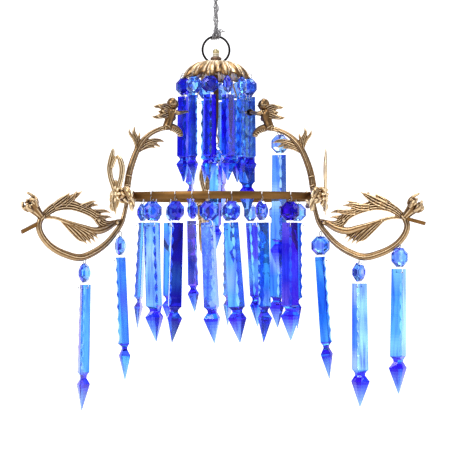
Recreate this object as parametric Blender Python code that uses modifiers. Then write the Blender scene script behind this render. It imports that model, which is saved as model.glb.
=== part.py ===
"""Small three-armed crystal chandelier, in metres, +Z up.

The origin is the hanging point, inside the top of the hanging ring. Heights in the tables below are
measured from the middle of the ring band and moved down by BAND_DROP. One arm points along +Y, the
others to the right front and the left front.
"""

import math

import bmesh
import bpy
from mathutils import Matrix, Vector

MM = 0.001
OBJECT_NAME = "crystal_chandelier"

# Heights and radii of the frame, in millimetres, heights from the middle of the band.
BAND_DROP = 141.2
BAND_RADIUS = 65.5
BAND_HEIGHT = 4.2
BAND_THICKNESS = 1.0
BAND_STEPS = 48
BAND_HOOK = -2.0
ARM_AZIMUTHS = {"back": 90.0, "right": -30.0, "left": 210.0}

HANG_RING_RADIUS = 6.0
HANG_RING_WIRE = 0.8
HANG_RING_BOTTOM = 130.0
CHAIN_RADIUS = 1.05
CHAIN_LOOP_RADIUS = 1.9
CHAIN_LOOP_WIRE = 0.4
BAIL_RADIUS = 8.5
BAIL_WIRE = 0.55
BAIL_CENTRE = 92.8
COLLAR_RADIUS = 3.5
COLLAR_BOTTOM = 81.2
COLLAR_TOP = 88.7
COLLAR_BORE = 1.7
KNOB_TOP = 93.4
CROWN_HOLE_RADIUS = 21.25
CROWN_HOOK = 75.75
FIT_GAP = 0.3

# Pendants: jump ring, octagon bead, pin and spear prism.
JUMP_RADIUS = 1.6
JUMP_WIRE = 0.3
JUMP_CLEARANCE = 0.75
BEAD_RADIUS = 6.1
BEAD_THICKNESS = 6.0
SMALL_BEAD_RADIUS = 5.6
PIN_RADIUS = 0.45
PIN_REACH = 2.0
PRISM_LENGTH = 74.0
BAND_LENGTH = 70.0
PRISM_WIDTH = 10.2
PRISM_DEPTH = 5.4
SHORT_LENGTH = 53.0
SHORT_WIDTH = 8.4
SHORT_DEPTH = 4.6
SPEAR_SHARE = 0.245
NECK_SHARE = 0.055

# Pendants on the crown: azimuth, prism length, bead yaw, prism yaw, sideways lean, in degrees.
CROWN_PENDANTS = [
    (-105.0, SHORT_LENGTH, 10, 20, 0),
    (-75.0, SHORT_LENGTH, 60, -30, 0),
    (-45.0, SHORT_LENGTH, 20, 80, 0),
    (-15.0, SHORT_LENGTH, 70, 95, 0),
    (15.0, PRISM_LENGTH, 30, 60, 0),
    (45.0, SHORT_LENGTH, 0, 40, 0),
    (75.0, PRISM_LENGTH, 60, 85, 0),
    (105.0, SHORT_LENGTH, 20, 90, 0),
    (135.0, PRISM_LENGTH, 45, 30, 0),
    (165.0, SHORT_LENGTH, 10, 50, 0),
    (195.0, SHORT_LENGTH, 60, 85, 0),
    (225.0, SHORT_LENGTH, 15, 95, 0),
]
# Pendants on the band: azimuth, prism length, bead yaw, prism yaw, sideways lean.
BAND_PENDANTS = [
    (-130.0, BAND_LENGTH, 35, 60, 2.5),
    (-116.0, BAND_LENGTH, 55, -20, -2.0),
    (-107.0, SHORT_LENGTH, 90, 70, 1.5),
    (-98.5, BAND_LENGTH, 10, 35, 2.6),
    (-87.0, BAND_LENGTH, 20, 150, 4.0),
    (-71.0, BAND_LENGTH, 35, -75, 1.0),
    (-53.0, BAND_LENGTH, -30, -42, 0.5),
    (30.0, BAND_LENGTH, 60, -40, 0.0),
    (46.0, BAND_LENGTH, 25, 10, 0.0),
    (64.0, BAND_LENGTH, 60, 50, -4.0),
    (78.0, BAND_LENGTH, 70, 80, 0.0),
    (113.0, BAND_LENGTH, 60, 150, 0.0),
    (123.0, BAND_LENGTH, 75, 70, -0.8),
    (133.0, BAND_LENGTH, 15, 35, 4.0),
]
# Pendants on the arms: hook radius and height, bead yaw, prism yaw, lean outwards.
ARM_PENDANTS = {
    "right": [(70.0, -22.8, 32, 85, 4.5), (94.5, -38.5, 75, 5, 0.5), (119.8, -29.4, 50, 40, -0.5)],
    "left": [(70.0, -22.8, 45, 80, -2.5), (94.5, -38.5, 40, 30, 1.5)],
    "back": [],
}
STRAP = [
    (7.0, 80.0, 0.8), (9.0, 77.0, 0.8), (11.5, 71.0, 0.8), (15.0, 61.0, 0.8), (18.2, 54.6, 0.8),
    (19.0, 53.0, 0.6),
]
PEG_RADIUS = 0.75
PEG_HOOK = (41.5, 4.7, 39.9)
STEM_EYE = 34.2
STEM_HOOK = 33.0

# The arm's outlines in its own plane: radius, height, then the tube's radius where it has one.
C_SCROLL = [
    (65.3, -2.6, 1.35), (66.2, -7.0, 1.35), (67.4, -11.5, 1.4), (69.0, -16.0, 1.45), (72.4, -20.8, 1.55),
    (79.4, -28.2, 1.75), (87.8, -33.5, 1.95), (97.5, -36.6, 2.05), (107.5, -34.4, 2.05),
    (116.1, -30.2, 1.9), (122.0, -24.4, 1.8), (124.4, -18.5, 1.75), (122.9, -13.2, 1.75),
]
S_STEM = [
    (122.7, -13.6, 1.1), (112.3, -14.6, 1.0), (104.2, -16.9, 1.3), (94.1, -19.9, 2.0), (87.4, -21.4, 2.3),
    (80.6, -19.9, 2.3), (73.7, -16.2, 1.8), (68.8, -14.8, 1.3),
]
FAN_TAIL = [(105.6, -17.6), (94.1, -27.3), (90.7, -28.5), (85.4, -27.4), (88.7, -20.5), (97.0, -18.5)]
ACANTHUS = [
    (122.5, -12.4), (120.0, -9.6), (114.2, -4.7), (109.5, -2.6), (104.9, 1.2), (103.2, -2.0), (95.6, 2.2),
    (99.0, -6.4), (84.4, -6.6), (86.0, -10.6), (76.5, -10.6), (78.0, -14.0), (74.0, -15.4), (84.0, -20.5),
    (86.7, -19.9), (84.9, -17.8), (85.8, -15.5), (89.4, -13.4), (97.5, -10.9), (105.6, -9.6), (112.9, -10.2),
    (117.4, -12.8), (121.0, -15.0),
]
ACANTHUS_THICKNESS = 1.8
FAN_THICKNESS = 2.2
FLOWER_BASE = (122.9, -12.6)
FLOWER_MOUTH = (129.9, -5.2)
STUB_ROD = [(124.0, -13.6, 0.9), (135.2, -16.6, 0.9)]

# The bracket, in the same plane.
BRACKET_STEM = [
    (65.3, 2.5, 1.1), (65.3, 4.4, 1.1), (65.3, 4.9, 2.3), (64.9, 7.5, 2.2), (63.2, 15.6, 2.1),
    (59.7, 24.7, 2.0), (55.4, 32.2, 1.8), (49.1, 37.8, 1.5), (42.5, 40.9, 1.45), (36.5, 42.6, 1.4),
]
INNER_BRANCH = [(58.6, 26.6, 1.3), (55.4, 29.1, 1.6), (49.1, 32.4, 1.7), (43.3, 33.6, 1.3), (38.6, 32.6, 0.5)]
OUTER_BRANCH = [(57.6, 29.0, 1.2), (58.5, 35.0, 1.3), (60.0, 38.8, 1.2), (59.5, 42.0, 0.4)]
PUTTO_BODY = [(36.0, 42.0, 1.7), (35.0, 45.5, 1.7), (34.0, 49.0, 2.5), (33.4, 52.0, 1.7), (32.9, 54.5, 1.0)]
PUTTO_TAIL = [(37.0, 42.6, 1.5), (32.0, 42.9, 1.8), (28.6, 41.4, 1.7), (26.6, 38.8, 1.5), (27.0, 36.9, 1.1)]
PUTTO_HEAD = (32.4, 56.4)
PUTTO_HEAD_RADIUS = 2.9
PUTTO_SHOULDER = (33.6, 52.2)
PUTTO_ELBOW = (27.6, 52.0)
PUTTO_HAND = (20.4, 52.7)
WING = [(33.6, 52.0), (36.4, 54.4), (42.4, 56.6), (40.6, 53.4), (43.6, 51.0), (39.0, 50.6), (35.0, 49.6)]
WING_THICKNESS = 1.0

# The leaf clamp.
UPRIGHT_LEAF = [
    (-1.0, 2.0), (-4.8, 12.0), (-4.4, 19.0), (-1.8, 27.6), (0.2, 20.5), (2.4, 23.2), (5.2, 17.0),
    (4.4, 12.0), (1.4, 2.0),
]
UPRIGHT_LEAF_RADIUS = 73.2
UPRIGHT_LEAF_TURN = 115.0
DROP_LEAF = [(-1.6, 1.0), (-2.4, -4.0), (0.0, -11.6), (2.4, -4.0), (1.6, 1.0)]
DROP_LEAF_RADIUS = 73.6
LEAF_THICKNESS = 1.2

MATERIALS = {
    "aged_brass": ((0.46, 0.30, 0.13), 0.34, 1.0),
    "band_bronze": ((0.22, 0.13, 0.05), 0.42, 1.0),
    "pale_gilt": ((0.66, 0.45, 0.18), 0.30, 1.0),
    "dark_steel": ((0.09, 0.08, 0.08), 0.35, 1.0),
    "olive_brass": ((0.36, 0.30, 0.13), 0.32, 1.0),
    "silver_steel": ((0.62, 0.60, 0.58), 0.25, 1.0),
    "cobalt_glass": ((0.03, 0.02, 0.75), 0.03, 0.0),
}


def clear_scene():
    for scene_object in list(bpy.data.objects):
        bpy.data.objects.remove(scene_object, do_unlink=True)


def new_collection(name):
    collection = bpy.data.collections.new(name)
    bpy.context.scene.collection.children.link(collection)
    return collection


def height(above_band):
    """Height above the band's middle, in millimetres, as a world height in metres."""
    return (above_band - BAND_DROP) * MM


def make_material(name):
    colour, roughness, metallic = MATERIALS[name]
    material = bpy.data.materials.new(name)
    material.use_nodes = True
    shader = material.node_tree.nodes["Principled BSDF"]
    shader.inputs["Base Color"].default_value = (*colour, 1.0)
    shader.inputs["Roughness"].default_value = roughness
    shader.inputs["Metallic"].default_value = metallic
    return material


def mesh_of(name, build):
    """A mesh filled by build(bm)."""
    bm = bmesh.new()
    build(bm)
    bmesh.ops.recalc_face_normals(bm, faces=bm.faces)
    mesh = bpy.data.meshes.new(name)
    bm.to_mesh(mesh)
    bm.free()
    return mesh


def evaluated_mesh(scene_object):
    """The object's mesh as the viewport shows it, in world space, with its caps welded."""
    graph = bpy.context.evaluated_depsgraph_get()
    mesh = bpy.data.meshes.new_from_object(scene_object.evaluated_get(graph))
    bm = bmesh.new()
    bm.from_mesh(mesh)
    bmesh.ops.remove_doubles(bm, verts=bm.verts, dist=1e-6)
    bmesh.ops.transform(bm, matrix=scene_object.matrix_world, verts=bm.verts)
    bmesh.ops.recalc_face_normals(bm, faces=bm.faces)
    bm.to_mesh(mesh)
    bm.free()
    return mesh


def take_mesh(scene_object):
    """The evaluated mesh of a helper object, which is then removed."""
    mesh = evaluated_mesh(scene_object)
    bpy.data.objects.remove(scene_object, do_unlink=True)
    return mesh


def plane_point(radius, above_band):
    """A point in the arm's own plane, in metres, with heights from the middle of the band."""
    return Vector((radius * MM, 0.0, above_band * MM))


def tube_mesh(points, sides_level=1):
    """A tapering tube through (x, y, z, radius) points in metres."""
    curve = bpy.data.curves.new("tube", "CURVE")
    curve.dimensions = "3D"
    curve.bevel_depth = 1.0
    curve.bevel_resolution = sides_level
    curve.use_fill_caps = True
    spline = curve.splines.new("POLY")
    spline.points.add(len(points) - 1)
    for point, (x, y, z, radius) in zip(spline.points, points):
        point.co = (x, y, z, 1.0)
        point.radius = radius
    tube = bpy.data.objects.new("tube", curve)
    helpers.objects.link(tube)
    return take_mesh(tube)


def plane_tube(points, sides_level=1):
    """A tube through (radius, height, tube radius) points in the arm's plane."""
    return tube_mesh([(*plane_point(r, h), tube_radius * MM) for r, h, tube_radius in points], sides_level)


def plate_mesh(outline, thickness, matrix):
    """A flat plate: an outline in its own (u, v) plane, stood up so that v is height, then placed."""
    curve = bpy.data.curves.new("plate", "CURVE")
    curve.dimensions = "2D"
    curve.fill_mode = "BOTH"
    curve.extrude = thickness * MM / 2
    spline = curve.splines.new("POLY")
    spline.use_cyclic_u = True
    spline.points.add(len(outline) - 1)
    for point, (u, v) in zip(spline.points, outline):
        point.co = (u * MM, v * MM, 0.0, 1.0)
    plate = bpy.data.objects.new("plate", curve)
    plate.matrix_world = matrix @ Matrix.Rotation(math.radians(90), 4, "X")
    helpers.objects.link(plate)
    bpy.context.view_layer.update()
    return take_mesh(plate)


def cylinder_mesh(start, end, radius_start, radius_end, sides=12):
    """A round bar or cone between two points in metres."""
    axis = end - start
    turn = axis.to_track_quat("Z", "Y").to_matrix().to_4x4()
    place = Matrix.Translation((start + end) / 2) @ turn

    def build(bm):
        bmesh.ops.create_cone(
            bm, cap_ends=True, segments=sides, radius1=radius_start, radius2=radius_end,
            depth=axis.length, matrix=place,
        )

    return mesh_of("cylinder", build)


def box_mesh(low, high):
    low, high = Vector(low) * MM, Vector(high) * MM
    place = Matrix.Translation((low + high) / 2) @ Matrix.Diagonal((*(high - low), 1.0))
    return mesh_of("box", lambda bm: bmesh.ops.create_cube(bm, size=1.0, matrix=place))


def ball_mesh(centre, radius, segments=10, rings=6):
    place = Matrix.Translation(centre)
    return mesh_of(
        "ball",
        lambda bm: bmesh.ops.create_uvsphere(
            bm, u_segments=segments, v_segments=rings, radius=radius, matrix=place
        ),
    )


def ring_mesh(centre, radius, wire, axis, around=8, sides=3):
    """A closed wire ring, turned about the given axis."""
    bpy.ops.mesh.primitive_torus_add(
        major_segments=around, minor_segments=sides, major_radius=radius * MM, minor_radius=wire * MM
    )
    ring = bpy.context.object
    ring.matrix_world = Matrix.Translation(centre) @ Vector(axis).to_track_quat("Z", "Y").to_matrix().to_4x4()
    bpy.context.view_layer.update()
    return take_mesh(ring)


def turned_mesh(profile, steps):
    """A closed (radius, height) outline, in millimetres, turned about the vertical axis."""
    corners = [(r * MM, 0.0, z * MM) for r, z in profile]
    edges = [(corner, (corner + 1) % len(corners)) for corner in range(len(corners))]
    outline = bpy.data.meshes.new("turned")
    outline.from_pydata(corners, edges, [])
    turned = bpy.data.objects.new("turned", outline)
    helpers.objects.link(turned)
    screw = turned.modifiers.new("turn", "SCREW")
    screw.steps = steps
    screw.render_steps = steps
    screw.use_merge_vertices = True
    screw.merge_threshold = 1e-6
    return take_mesh(turned)


def combined(base, others, operation):
    """The Boolean of a mesh with others, as a new mesh."""
    body = bpy.data.objects.new("body", base)
    helpers.objects.link(body)
    tools = []
    for mesh in others:
        tool = bpy.data.objects.new("tool", mesh)
        tool.hide_render = True
        tool.display_type = "WIRE"
        helpers.objects.link(tool)
        tools.append(tool)
        step = body.modifiers.new("step", "BOOLEAN")
        step.operation = operation
        step.object = tool
        step.solver = "EXACT"
    bpy.context.view_layer.update()
    mesh = take_mesh(body)
    for tool in tools:
        bpy.data.objects.remove(tool, do_unlink=True)
    return mesh


def joined(meshes):
    return combined(meshes[0], meshes[1:], "UNION")


def cut(mesh, cutters):
    return combined(mesh, cutters, "DIFFERENCE")


def add_part(name, mesh, material, azimuth=0.0, location=None, smooth_angle=35.0):
    """One named piece. Its mesh is measured from location, then turned about the vertical."""
    mesh.name = name
    part = bpy.data.objects.new(name, mesh)
    part.location = location if location is not None else (0.0, 0.0, height(0.0))
    part.rotation_euler = (0.0, 0.0, math.radians(azimuth))
    if not mesh.materials:
        mesh.materials.append(materials[material])
    mesh.shade_smooth()
    mesh.set_sharp_from_angle(angle=math.radians(smooth_angle))
    parts.objects.link(part)
    return part


def jump_cutter(centre, axis):
    """The clear space a jump ring turns in."""
    return ring_mesh(centre, JUMP_RADIUS, JUMP_CLEARANCE, axis, around=12, sides=4)


def around_axis(radius, azimuth, above_band):
    angle = math.radians(azimuth)
    return Vector((radius * math.cos(angle) * MM, radius * math.sin(angle) * MM, above_band * MM))


def tangent(azimuth):
    angle = math.radians(azimuth)
    return Vector((-math.sin(angle), math.cos(angle), 0.0))


# Hanging parts.
def make_hanging_ring():
    centre = HANG_RING_BOTTOM + HANG_RING_RADIUS
    ring = ring_mesh(Vector((0, 0, centre * MM)), HANG_RING_RADIUS, HANG_RING_WIRE, (1, 0, 0), 24, 8)
    add_part("hanging_ring", ring, "silver_steel")


def make_chain():
    upper, lower = HANG_RING_BOTTOM, BAIL_CENTRE + BAIL_RADIUS
    top = Vector((0, 0, (upper - CHAIN_LOOP_RADIUS) * MM))
    bottom = Vector((0, 0, (lower + CHAIN_LOOP_RADIUS) * MM))
    pieces = [
        cylinder_mesh(bottom, top, CHAIN_RADIUS * MM, CHAIN_RADIUS * MM, 8),
        ring_mesh(Vector((0, 0, upper * MM)), CHAIN_LOOP_RADIUS, CHAIN_LOOP_WIRE, (0, 1, 0), 12, 6),
        ring_mesh(Vector((0, 0, lower * MM)), CHAIN_LOOP_RADIUS, CHAIN_LOOP_WIRE, (1, 0, 0), 12, 6),
    ]
    add_part("hanging_chain", joined(pieces), "silver_steel")


def make_bail():
    place = Vector((0, 0, height(BAIL_CENTRE + BAIL_RADIUS)))
    ring = ring_mesh(Vector((0, 0, -BAIL_RADIUS * MM)), BAIL_RADIUS, BAIL_WIRE, (0, 1, 0), 32, 6)
    add_part("bail_ring", ring, "dark_steel", location=place)


def make_collar():
    bail_bottom = BAIL_CENTRE - BAIL_RADIUS
    body = turned_mesh(
        [
            (0.0, COLLAR_BOTTOM), (2.6, COLLAR_BOTTOM), (COLLAR_RADIUS, COLLAR_BOTTOM + 0.8),
            (COLLAR_RADIUS, COLLAR_TOP - 1.0), (COLLAR_RADIUS - 0.8, COLLAR_TOP), (0.0, COLLAR_TOP),
        ],
        20,
    )
    reach = COLLAR_RADIUS + 2.0
    bore = cylinder_mesh(
        Vector((-reach * MM, 0, bail_bottom * MM)), Vector((reach * MM, 0, bail_bottom * MM)),
        COLLAR_BORE * MM, COLLAR_BORE * MM, 12,
    )
    add_part("bail_collar", cut(body, [bore]), "dark_steel")


def make_knob():
    base = COLLAR_TOP + FIT_GAP
    knob = turned_mesh(
        [
            (0.0, base), (1.6, base), (1.3, base + 1.0), (1.9, base + 1.8), (2.1, base + 3.0),
            (1.6, KNOB_TOP - 0.5), (0.8, KNOB_TOP), (0.0, KNOB_TOP),
        ],
        12,
    )
    add_part("finial_knob", knob, "olive_brass")


def make_crown():
    shell = turned_mesh(
        [
            (3.8, 83.4), (3.8, 82.6), (7.0, 82.6), (8.4, 83.9), (11.8, 83.2), (15.8, 81.2), (19.1, 78.2),
            (20.7, 75.1), (21.7, 75.1), (20.0, 78.7), (16.6, 82.1), (12.2, 84.4), (8.2, 85.2), (6.5, 83.4),
        ],
        26,
    )
    cutters = [
        jump_cutter(around_axis(CROWN_HOLE_RADIUS, azimuth, CROWN_HOOK), tangent(azimuth))
        for azimuth, *_ in CROWN_PENDANTS
    ]
    add_part("crown_cap", cut(shell, cutters), "pale_gilt")


def make_centre_stem():
    edge = [(0.6, 35.6), (0.6, 41.8), (1.4, 52.0), (1.4, 80.9)]
    bar = [(-half_width, level) for half_width, level in reversed(edge)] + edge
    eye, through = Vector((0, 0, STEM_EYE * MM)), Vector((0, 1.0 * MM, 0))
    pieces = [
        plate_mesh(bar, 1.6, Matrix.Identity(4)),
        cylinder_mesh(eye - through / 2, eye + through / 2, 2.2 * MM, 2.2 * MM, 12),
    ]
    cutter = jump_cutter(Vector((0, 0, STEM_HOOK * MM)), (1, 0, 0))
    add_part("centre_stem", cut(joined(pieces), [cutter]), "aged_brass")


def make_strap_spider():
    hub = turned_mesh([(2.3, 80.3), (2.3, 78.9), (8.0, 78.9), (8.0, 80.3)], 18)
    pieces = [hub]
    for azimuth in ARM_AZIMUTHS.values():
        turn = Matrix.Rotation(math.radians(azimuth), 4, "Z")
        mesh = plane_tube(STRAP)
        mesh.transform(turn)
        pieces.append(mesh)
    add_part("strap_spider", joined(pieces), "aged_brass")


def make_band():
    half, inner = BAND_HEIGHT / 2, BAND_RADIUS - BAND_THICKNESS / 2
    outer = BAND_RADIUS + BAND_THICKNESS / 2
    band = turned_mesh([(inner, half), (inner, -half), (outer, -half), (outer, half)], BAND_STEPS)
    cutters = [
        jump_cutter(around_axis(BAND_RADIUS, azimuth, BAND_HOOK), tangent(azimuth))
        for azimuth, *_ in BAND_PENDANTS
    ]
    add_part("ring_band", cut(band, cutters), "band_bronze")


# The three arms, brackets and clamps.
def scroll_arm_mesh():
    flower_base, flower_mouth = plane_point(*FLOWER_BASE), plane_point(*FLOWER_MOUTH)
    pieces = [
        plane_tube(C_SCROLL, 1),
        plane_tube(S_STEM),
        plate_mesh(ACANTHUS, ACANTHUS_THICKNESS, Matrix.Identity(4)),
        plate_mesh(FAN_TAIL, FAN_THICKNESS, Matrix.Identity(4)),
        cylinder_mesh(flower_base, flower_mouth, 1.9 * MM, 3.4 * MM, 8),
        plane_tube(STUB_ROD),
        plane_tube([(128.2, -3.6, 0.9), (130.6, -1.4, 0.8), (131.0, 1.6, 0.5)]),
        plane_tube([(128.6, -6.8, 0.9), (131.6, -5.6, 0.6), (133.0, -3.4, 0.4)]),
    ]
    cutters = [jump_cutter(plane_point(r, h), (1, 0, 0)) for r, h, *_ in ARM_PENDANTS["right"]]
    return cut(joined(pieces), cutters)


def bracket_mesh(with_peg):
    hand = plane_point(*PUTTO_HAND)
    head = plane_point(*PUTTO_HEAD)
    pieces = [
        plane_tube(BRACKET_STEM, 1),
        plane_tube(INNER_BRANCH),
        plane_tube(OUTER_BRANCH),
        plane_tube(PUTTO_BODY, 2),
        plane_tube(PUTTO_TAIL, 1),
        ball_mesh(head, PUTTO_HEAD_RADIUS * MM, 8, 6),
        ball_mesh(hand, 1.2 * MM, 8, 5),
    ]
    for side in (-1, 1):
        shoulder = plane_point(*PUTTO_SHOULDER) + Vector((0, side * 2.0 * MM, 0))
        elbow = plane_point(*PUTTO_ELBOW) + Vector((0, side * 2.2 * MM, 0))
        wrist = hand + Vector((0.1 * MM, side * 0.25 * MM, 0))
        pieces.append(tube_mesh([(*shoulder, 1.0 * MM), (*elbow, 0.9 * MM), (*wrist, 0.8 * MM)]))
        splay = Matrix.Translation((0, side * 1.2 * MM, 0)) @ Matrix.Rotation(side * math.radians(18), 4, "Z")
        root = plane_point(WING[0][0], 0)
        place = Matrix.Translation(root) @ splay @ Matrix.Translation(-root)
        pieces.append(plate_mesh(WING, WING_THICKNESS, place))
    if with_peg:
        radius, offset, peg_height = PEG_HOOK
        start = plane_point(radius, peg_height + 0.6)
        end = plane_point(radius, peg_height) + Vector((0, (offset + 1.2) * MM, 0))
        pieces.append(cylinder_mesh(start, end, PEG_RADIUS * MM, PEG_RADIUS * MM, 6))
    return joined(pieces)


def clamp_mesh():
    turn = Matrix.Rotation(math.radians(UPRIGHT_LEAF_TURN), 4, "Z")
    upright = Matrix.Translation((UPRIGHT_LEAF_RADIUS * MM, 0, 0)) @ turn
    drop = Matrix.Translation((DROP_LEAF_RADIUS * MM, 0, 0)) @ turn
    pieces = [
        box_mesh((66.8, -5.5, -1.8), (74.5, 5.5, 4.0)),
        box_mesh((66.8, -9.2, -1.2), (69.2, 9.2, 3.6)),
        box_mesh((60.2, -3.2, -3.8), (63.4, 3.2, 3.4)),
        plate_mesh(UPRIGHT_LEAF, LEAF_THICKNESS, upright),
        plate_mesh(DROP_LEAF, LEAF_THICKNESS, drop),
    ]
    for side in (-1, 1):
        low, high = sorted((side * 1.9, side * 4.4))
        pieces.append(box_mesh((60.8, low, -4.4), (69.0, high, -2.5)))
        pieces.append(box_mesh((66.7, low, -3.4), (69.0, high, -1.0)))
        low, high = sorted((side * 2.1, side * 3.1))
        pieces.append(box_mesh((61.0, low, -4.0), (63.2, high, -2.0)))
        start = Vector((66.4 * MM, side * 8.0 * MM, -2.6 * MM))
        end = Vector((69.6 * MM, side * 8.0 * MM, -3.2 * MM))
        pieces.append(cylinder_mesh(start, end, 2.3 * MM, 2.3 * MM, 10))
    return joined(pieces)


def make_arm_groups():
    shared_arm = scroll_arm_mesh()
    plain_bracket, peg_bracket = bracket_mesh(False), bracket_mesh(True)
    shared_clamp = clamp_mesh()
    nut = joined(
        [
            ball_mesh(plane_point(61.8, -5.9), 1.5 * MM, 8, 6),
            cylinder_mesh(plane_point(61.8, -5.4), plane_point(61.8, -4.1), 1.1 * MM, 1.1 * MM, 6),
        ]
    )
    for side, azimuth in ARM_AZIMUTHS.items():
        add_part(f"scroll_arm_{side}", shared_arm, "aged_brass", azimuth)
        bracket = peg_bracket if side == "right" else plain_bracket
        add_part(f"cherub_bracket_{side}", bracket, "aged_brass", azimuth)
        add_part(f"leaf_clamp_{side}", shared_clamp, "aged_brass", azimuth)
        add_part(f"cap_nut_{side}", nut, "silver_steel", azimuth)


# Pendants.
def bead_mesh(radius, thickness, centre, yaw):
    """An octagon bead: eight bevels round a flat table on each face, standing upright."""
    place = (
        Matrix.Translation(centre) @ Matrix.Rotation(math.radians(yaw), 4, "Z")
        @ Matrix.Rotation(math.radians(90), 4, "X") @ Matrix.Rotation(math.radians(22.5), 4, "Z")
    )

    def build(bm):
        levels = [(-thickness / 2, 0.5), (0.0, 1.0), (thickness / 2, 0.5)]
        rows = []
        for level, share in levels:
            row = []
            for corner in range(8):
                angle = math.radians(45 * corner)
                across, up = math.cos(angle), math.sin(angle)
                point = Vector((radius * share * across, radius * share * up, level)) * MM
                row.append(bm.verts.new(place @ point))
            rows.append(row)
        bm.faces.new(rows[0][::-1])
        bm.faces.new(rows[-1])
        for low, high in zip(rows, rows[1:]):
            for corner in range(8):
                after = (corner + 1) % 8
                bm.faces.new((low[corner], low[after], high[after], high[corner]))

    return mesh_of("bead", build)


def prism_mesh(length, width, depth, top, yaw):
    """A three-sided prism with a neck and a six-sided spear point, hanging from top."""
    body_end = length * (1 - SPEAR_SHARE - NECK_SHARE)
    neck = length * (1 - SPEAR_SHARE - NECK_SHARE / 2)
    shoulder = length * (1 - SPEAR_SHARE + 0.04)
    sections = [
        (0.0, 0.88, 0.08), (body_end, 1.0, 0.08), (neck, 0.62, 0.3), (shoulder, 0.92, 0.6),
        (length, 0.05, 0.6),
    ]
    turn = Matrix.Rotation(math.radians(yaw), 4, "Z")

    def build(bm):
        rows = []
        for down, share, cut_off in sections:
            half = width / 2 * share
            back, front = -depth * share / 3, depth * share * 2 / 3
            outline = [
                (-half, back), (half, back), (half * (1 - cut_off / 2), back + (front - back) * cut_off / 2),
                (half * cut_off, front - (front - back) * cut_off / 4),
                (-half * cut_off, front - (front - back) * cut_off / 4),
                (-half * (1 - cut_off / 2), back + (front - back) * cut_off / 2),
            ]
            row = [bm.verts.new(top + turn @ Vector((x * MM, -y * MM, -down * MM))) for x, y in outline]
            rows.append(row)
        bm.faces.new(rows[0])
        bm.faces.new(rows[-1][::-1])
        for low, high in zip(rows, rows[1:]):
            for corner in range(6):
                after = (corner + 1) % 6
                bm.faces.new((low[after], low[corner], high[corner], high[after]))

    return mesh_of("prism", build)


def pendant_mesh(length, ring_axis, bead_yaw, prism_yaw, lean_axis, lean):
    """Jump ring, bead, pin and prism as one body, hanging from the ring's own centre."""
    short = length == SHORT_LENGTH
    bead_radius = SMALL_BEAD_RADIUS if short else BEAD_RADIUS
    bead_centre = Vector((0, 0, -(JUMP_RADIUS + bead_radius * 0.92) * MM))
    prism_top = bead_centre - Vector((0, 0, (bead_radius + 0.7) * MM))
    width, depth = (SHORT_WIDTH, SHORT_DEPTH) if short else (PRISM_WIDTH, PRISM_DEPTH)
    pieces = [
        bead_mesh(bead_radius, BEAD_THICKNESS * bead_radius / BEAD_RADIUS, bead_centre, bead_yaw),
        ring_mesh(Vector((0, 0, 0)), JUMP_RADIUS, JUMP_WIRE, ring_axis),
        cylinder_mesh(
            bead_centre - Vector((0, 0, (bead_radius - PIN_REACH) * MM)),
            prism_top - Vector((0, 0, PIN_REACH * MM)), PIN_RADIUS * MM, PIN_RADIUS * MM, 5,
        ),
    ]
    prism = prism_mesh(length, width, depth, Vector((0, 0, 0)), prism_yaw)
    prism.transform(Matrix.Translation(prism_top) @ Matrix.Rotation(math.radians(lean), 4, lean_axis))
    return joined([*pieces, prism])


def add_pendant(name, centre, azimuth, length, swings_along, bead_yaw, prism_yaw, lean):
    """swings_along is 'radial' on the crown, band and bracket, or 'tangent' on the arms and stem.

    The yaws are measured from the swing plane's side view and the lean is along the hinge axis.
    """
    along_x, along_y = Vector((1, 0, 0)), Vector((0, 1, 0))
    ring_axis, lean_axis = (along_y, "X") if swings_along == "radial" else (along_x, "Y")
    mesh = pendant_mesh(length, ring_axis, bead_yaw, prism_yaw, lean_axis, lean)
    place = Vector(centre)
    place.z += height(0.0)
    add_part(name, mesh, "cobalt_glass", azimuth, place, smooth_angle=10.0)


def make_pendants():
    for number, (azimuth, length, bead_yaw, prism_yaw, lean) in enumerate(CROWN_PENDANTS, 1):
        name = f"crown_pendant_{number:02d}"
        centre = around_axis(CROWN_HOLE_RADIUS, azimuth, CROWN_HOOK)
        add_pendant(name, centre, azimuth, length, "radial", bead_yaw + 90, prism_yaw + 90, lean)
    for number, (azimuth, length, bead_yaw, prism_yaw, lean) in enumerate(BAND_PENDANTS, 1):
        name = f"band_pendant_{number:02d}"
        centre = around_axis(BAND_RADIUS, azimuth, BAND_HOOK)
        add_pendant(name, centre, azimuth, length, "radial", bead_yaw + 90, prism_yaw + 90, lean)
    for side, hooks in ARM_PENDANTS.items():
        azimuth = ARM_AZIMUTHS[side]
        for number, (r, h, bead_yaw, prism_yaw, lean) in enumerate(hooks, 1):
            name = f"arm_pendant_{side}_{number}"
            centre = around_axis(r, azimuth, h)
            add_pendant(name, centre, azimuth, PRISM_LENGTH, "tangent", bead_yaw, prism_yaw, -lean)
    azimuth = ARM_AZIMUTHS["right"]
    hook = Matrix.Rotation(math.radians(azimuth), 4, "Z") @ (Vector(PEG_HOOK) * MM)
    add_pendant("bracket_pendant", hook, azimuth, PRISM_LENGTH, "radial", 0, 180, 0.0)
    add_pendant("centre_pendant", (0, 0, STEM_HOOK * MM), 0.0, SHORT_LENGTH, "tangent", 55, 20, 0.0)


clear_scene()
parts = new_collection(OBJECT_NAME)
helpers = new_collection("cutters")
materials = {name: make_material(name) for name in MATERIALS}

make_hanging_ring()
make_chain()
make_bail()
make_collar()
make_knob()
make_crown()
make_centre_stem()
make_strap_spider()
make_band()
make_arm_groups()
make_pendants()
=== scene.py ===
"""The looks of the small crystal chandelier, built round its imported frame.

Shapes are in millimetres in an arm's own space: radius, sideways, height above the band's middle. piece()
turns them to their azimuth and lowers them, as the chandelier hangs from the frame's origin.
"""

import random
from math import copysign, cos, exp, pi, radians, sin

import bpy
import numpy as np
from mathutils import Matrix, Vector


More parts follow.
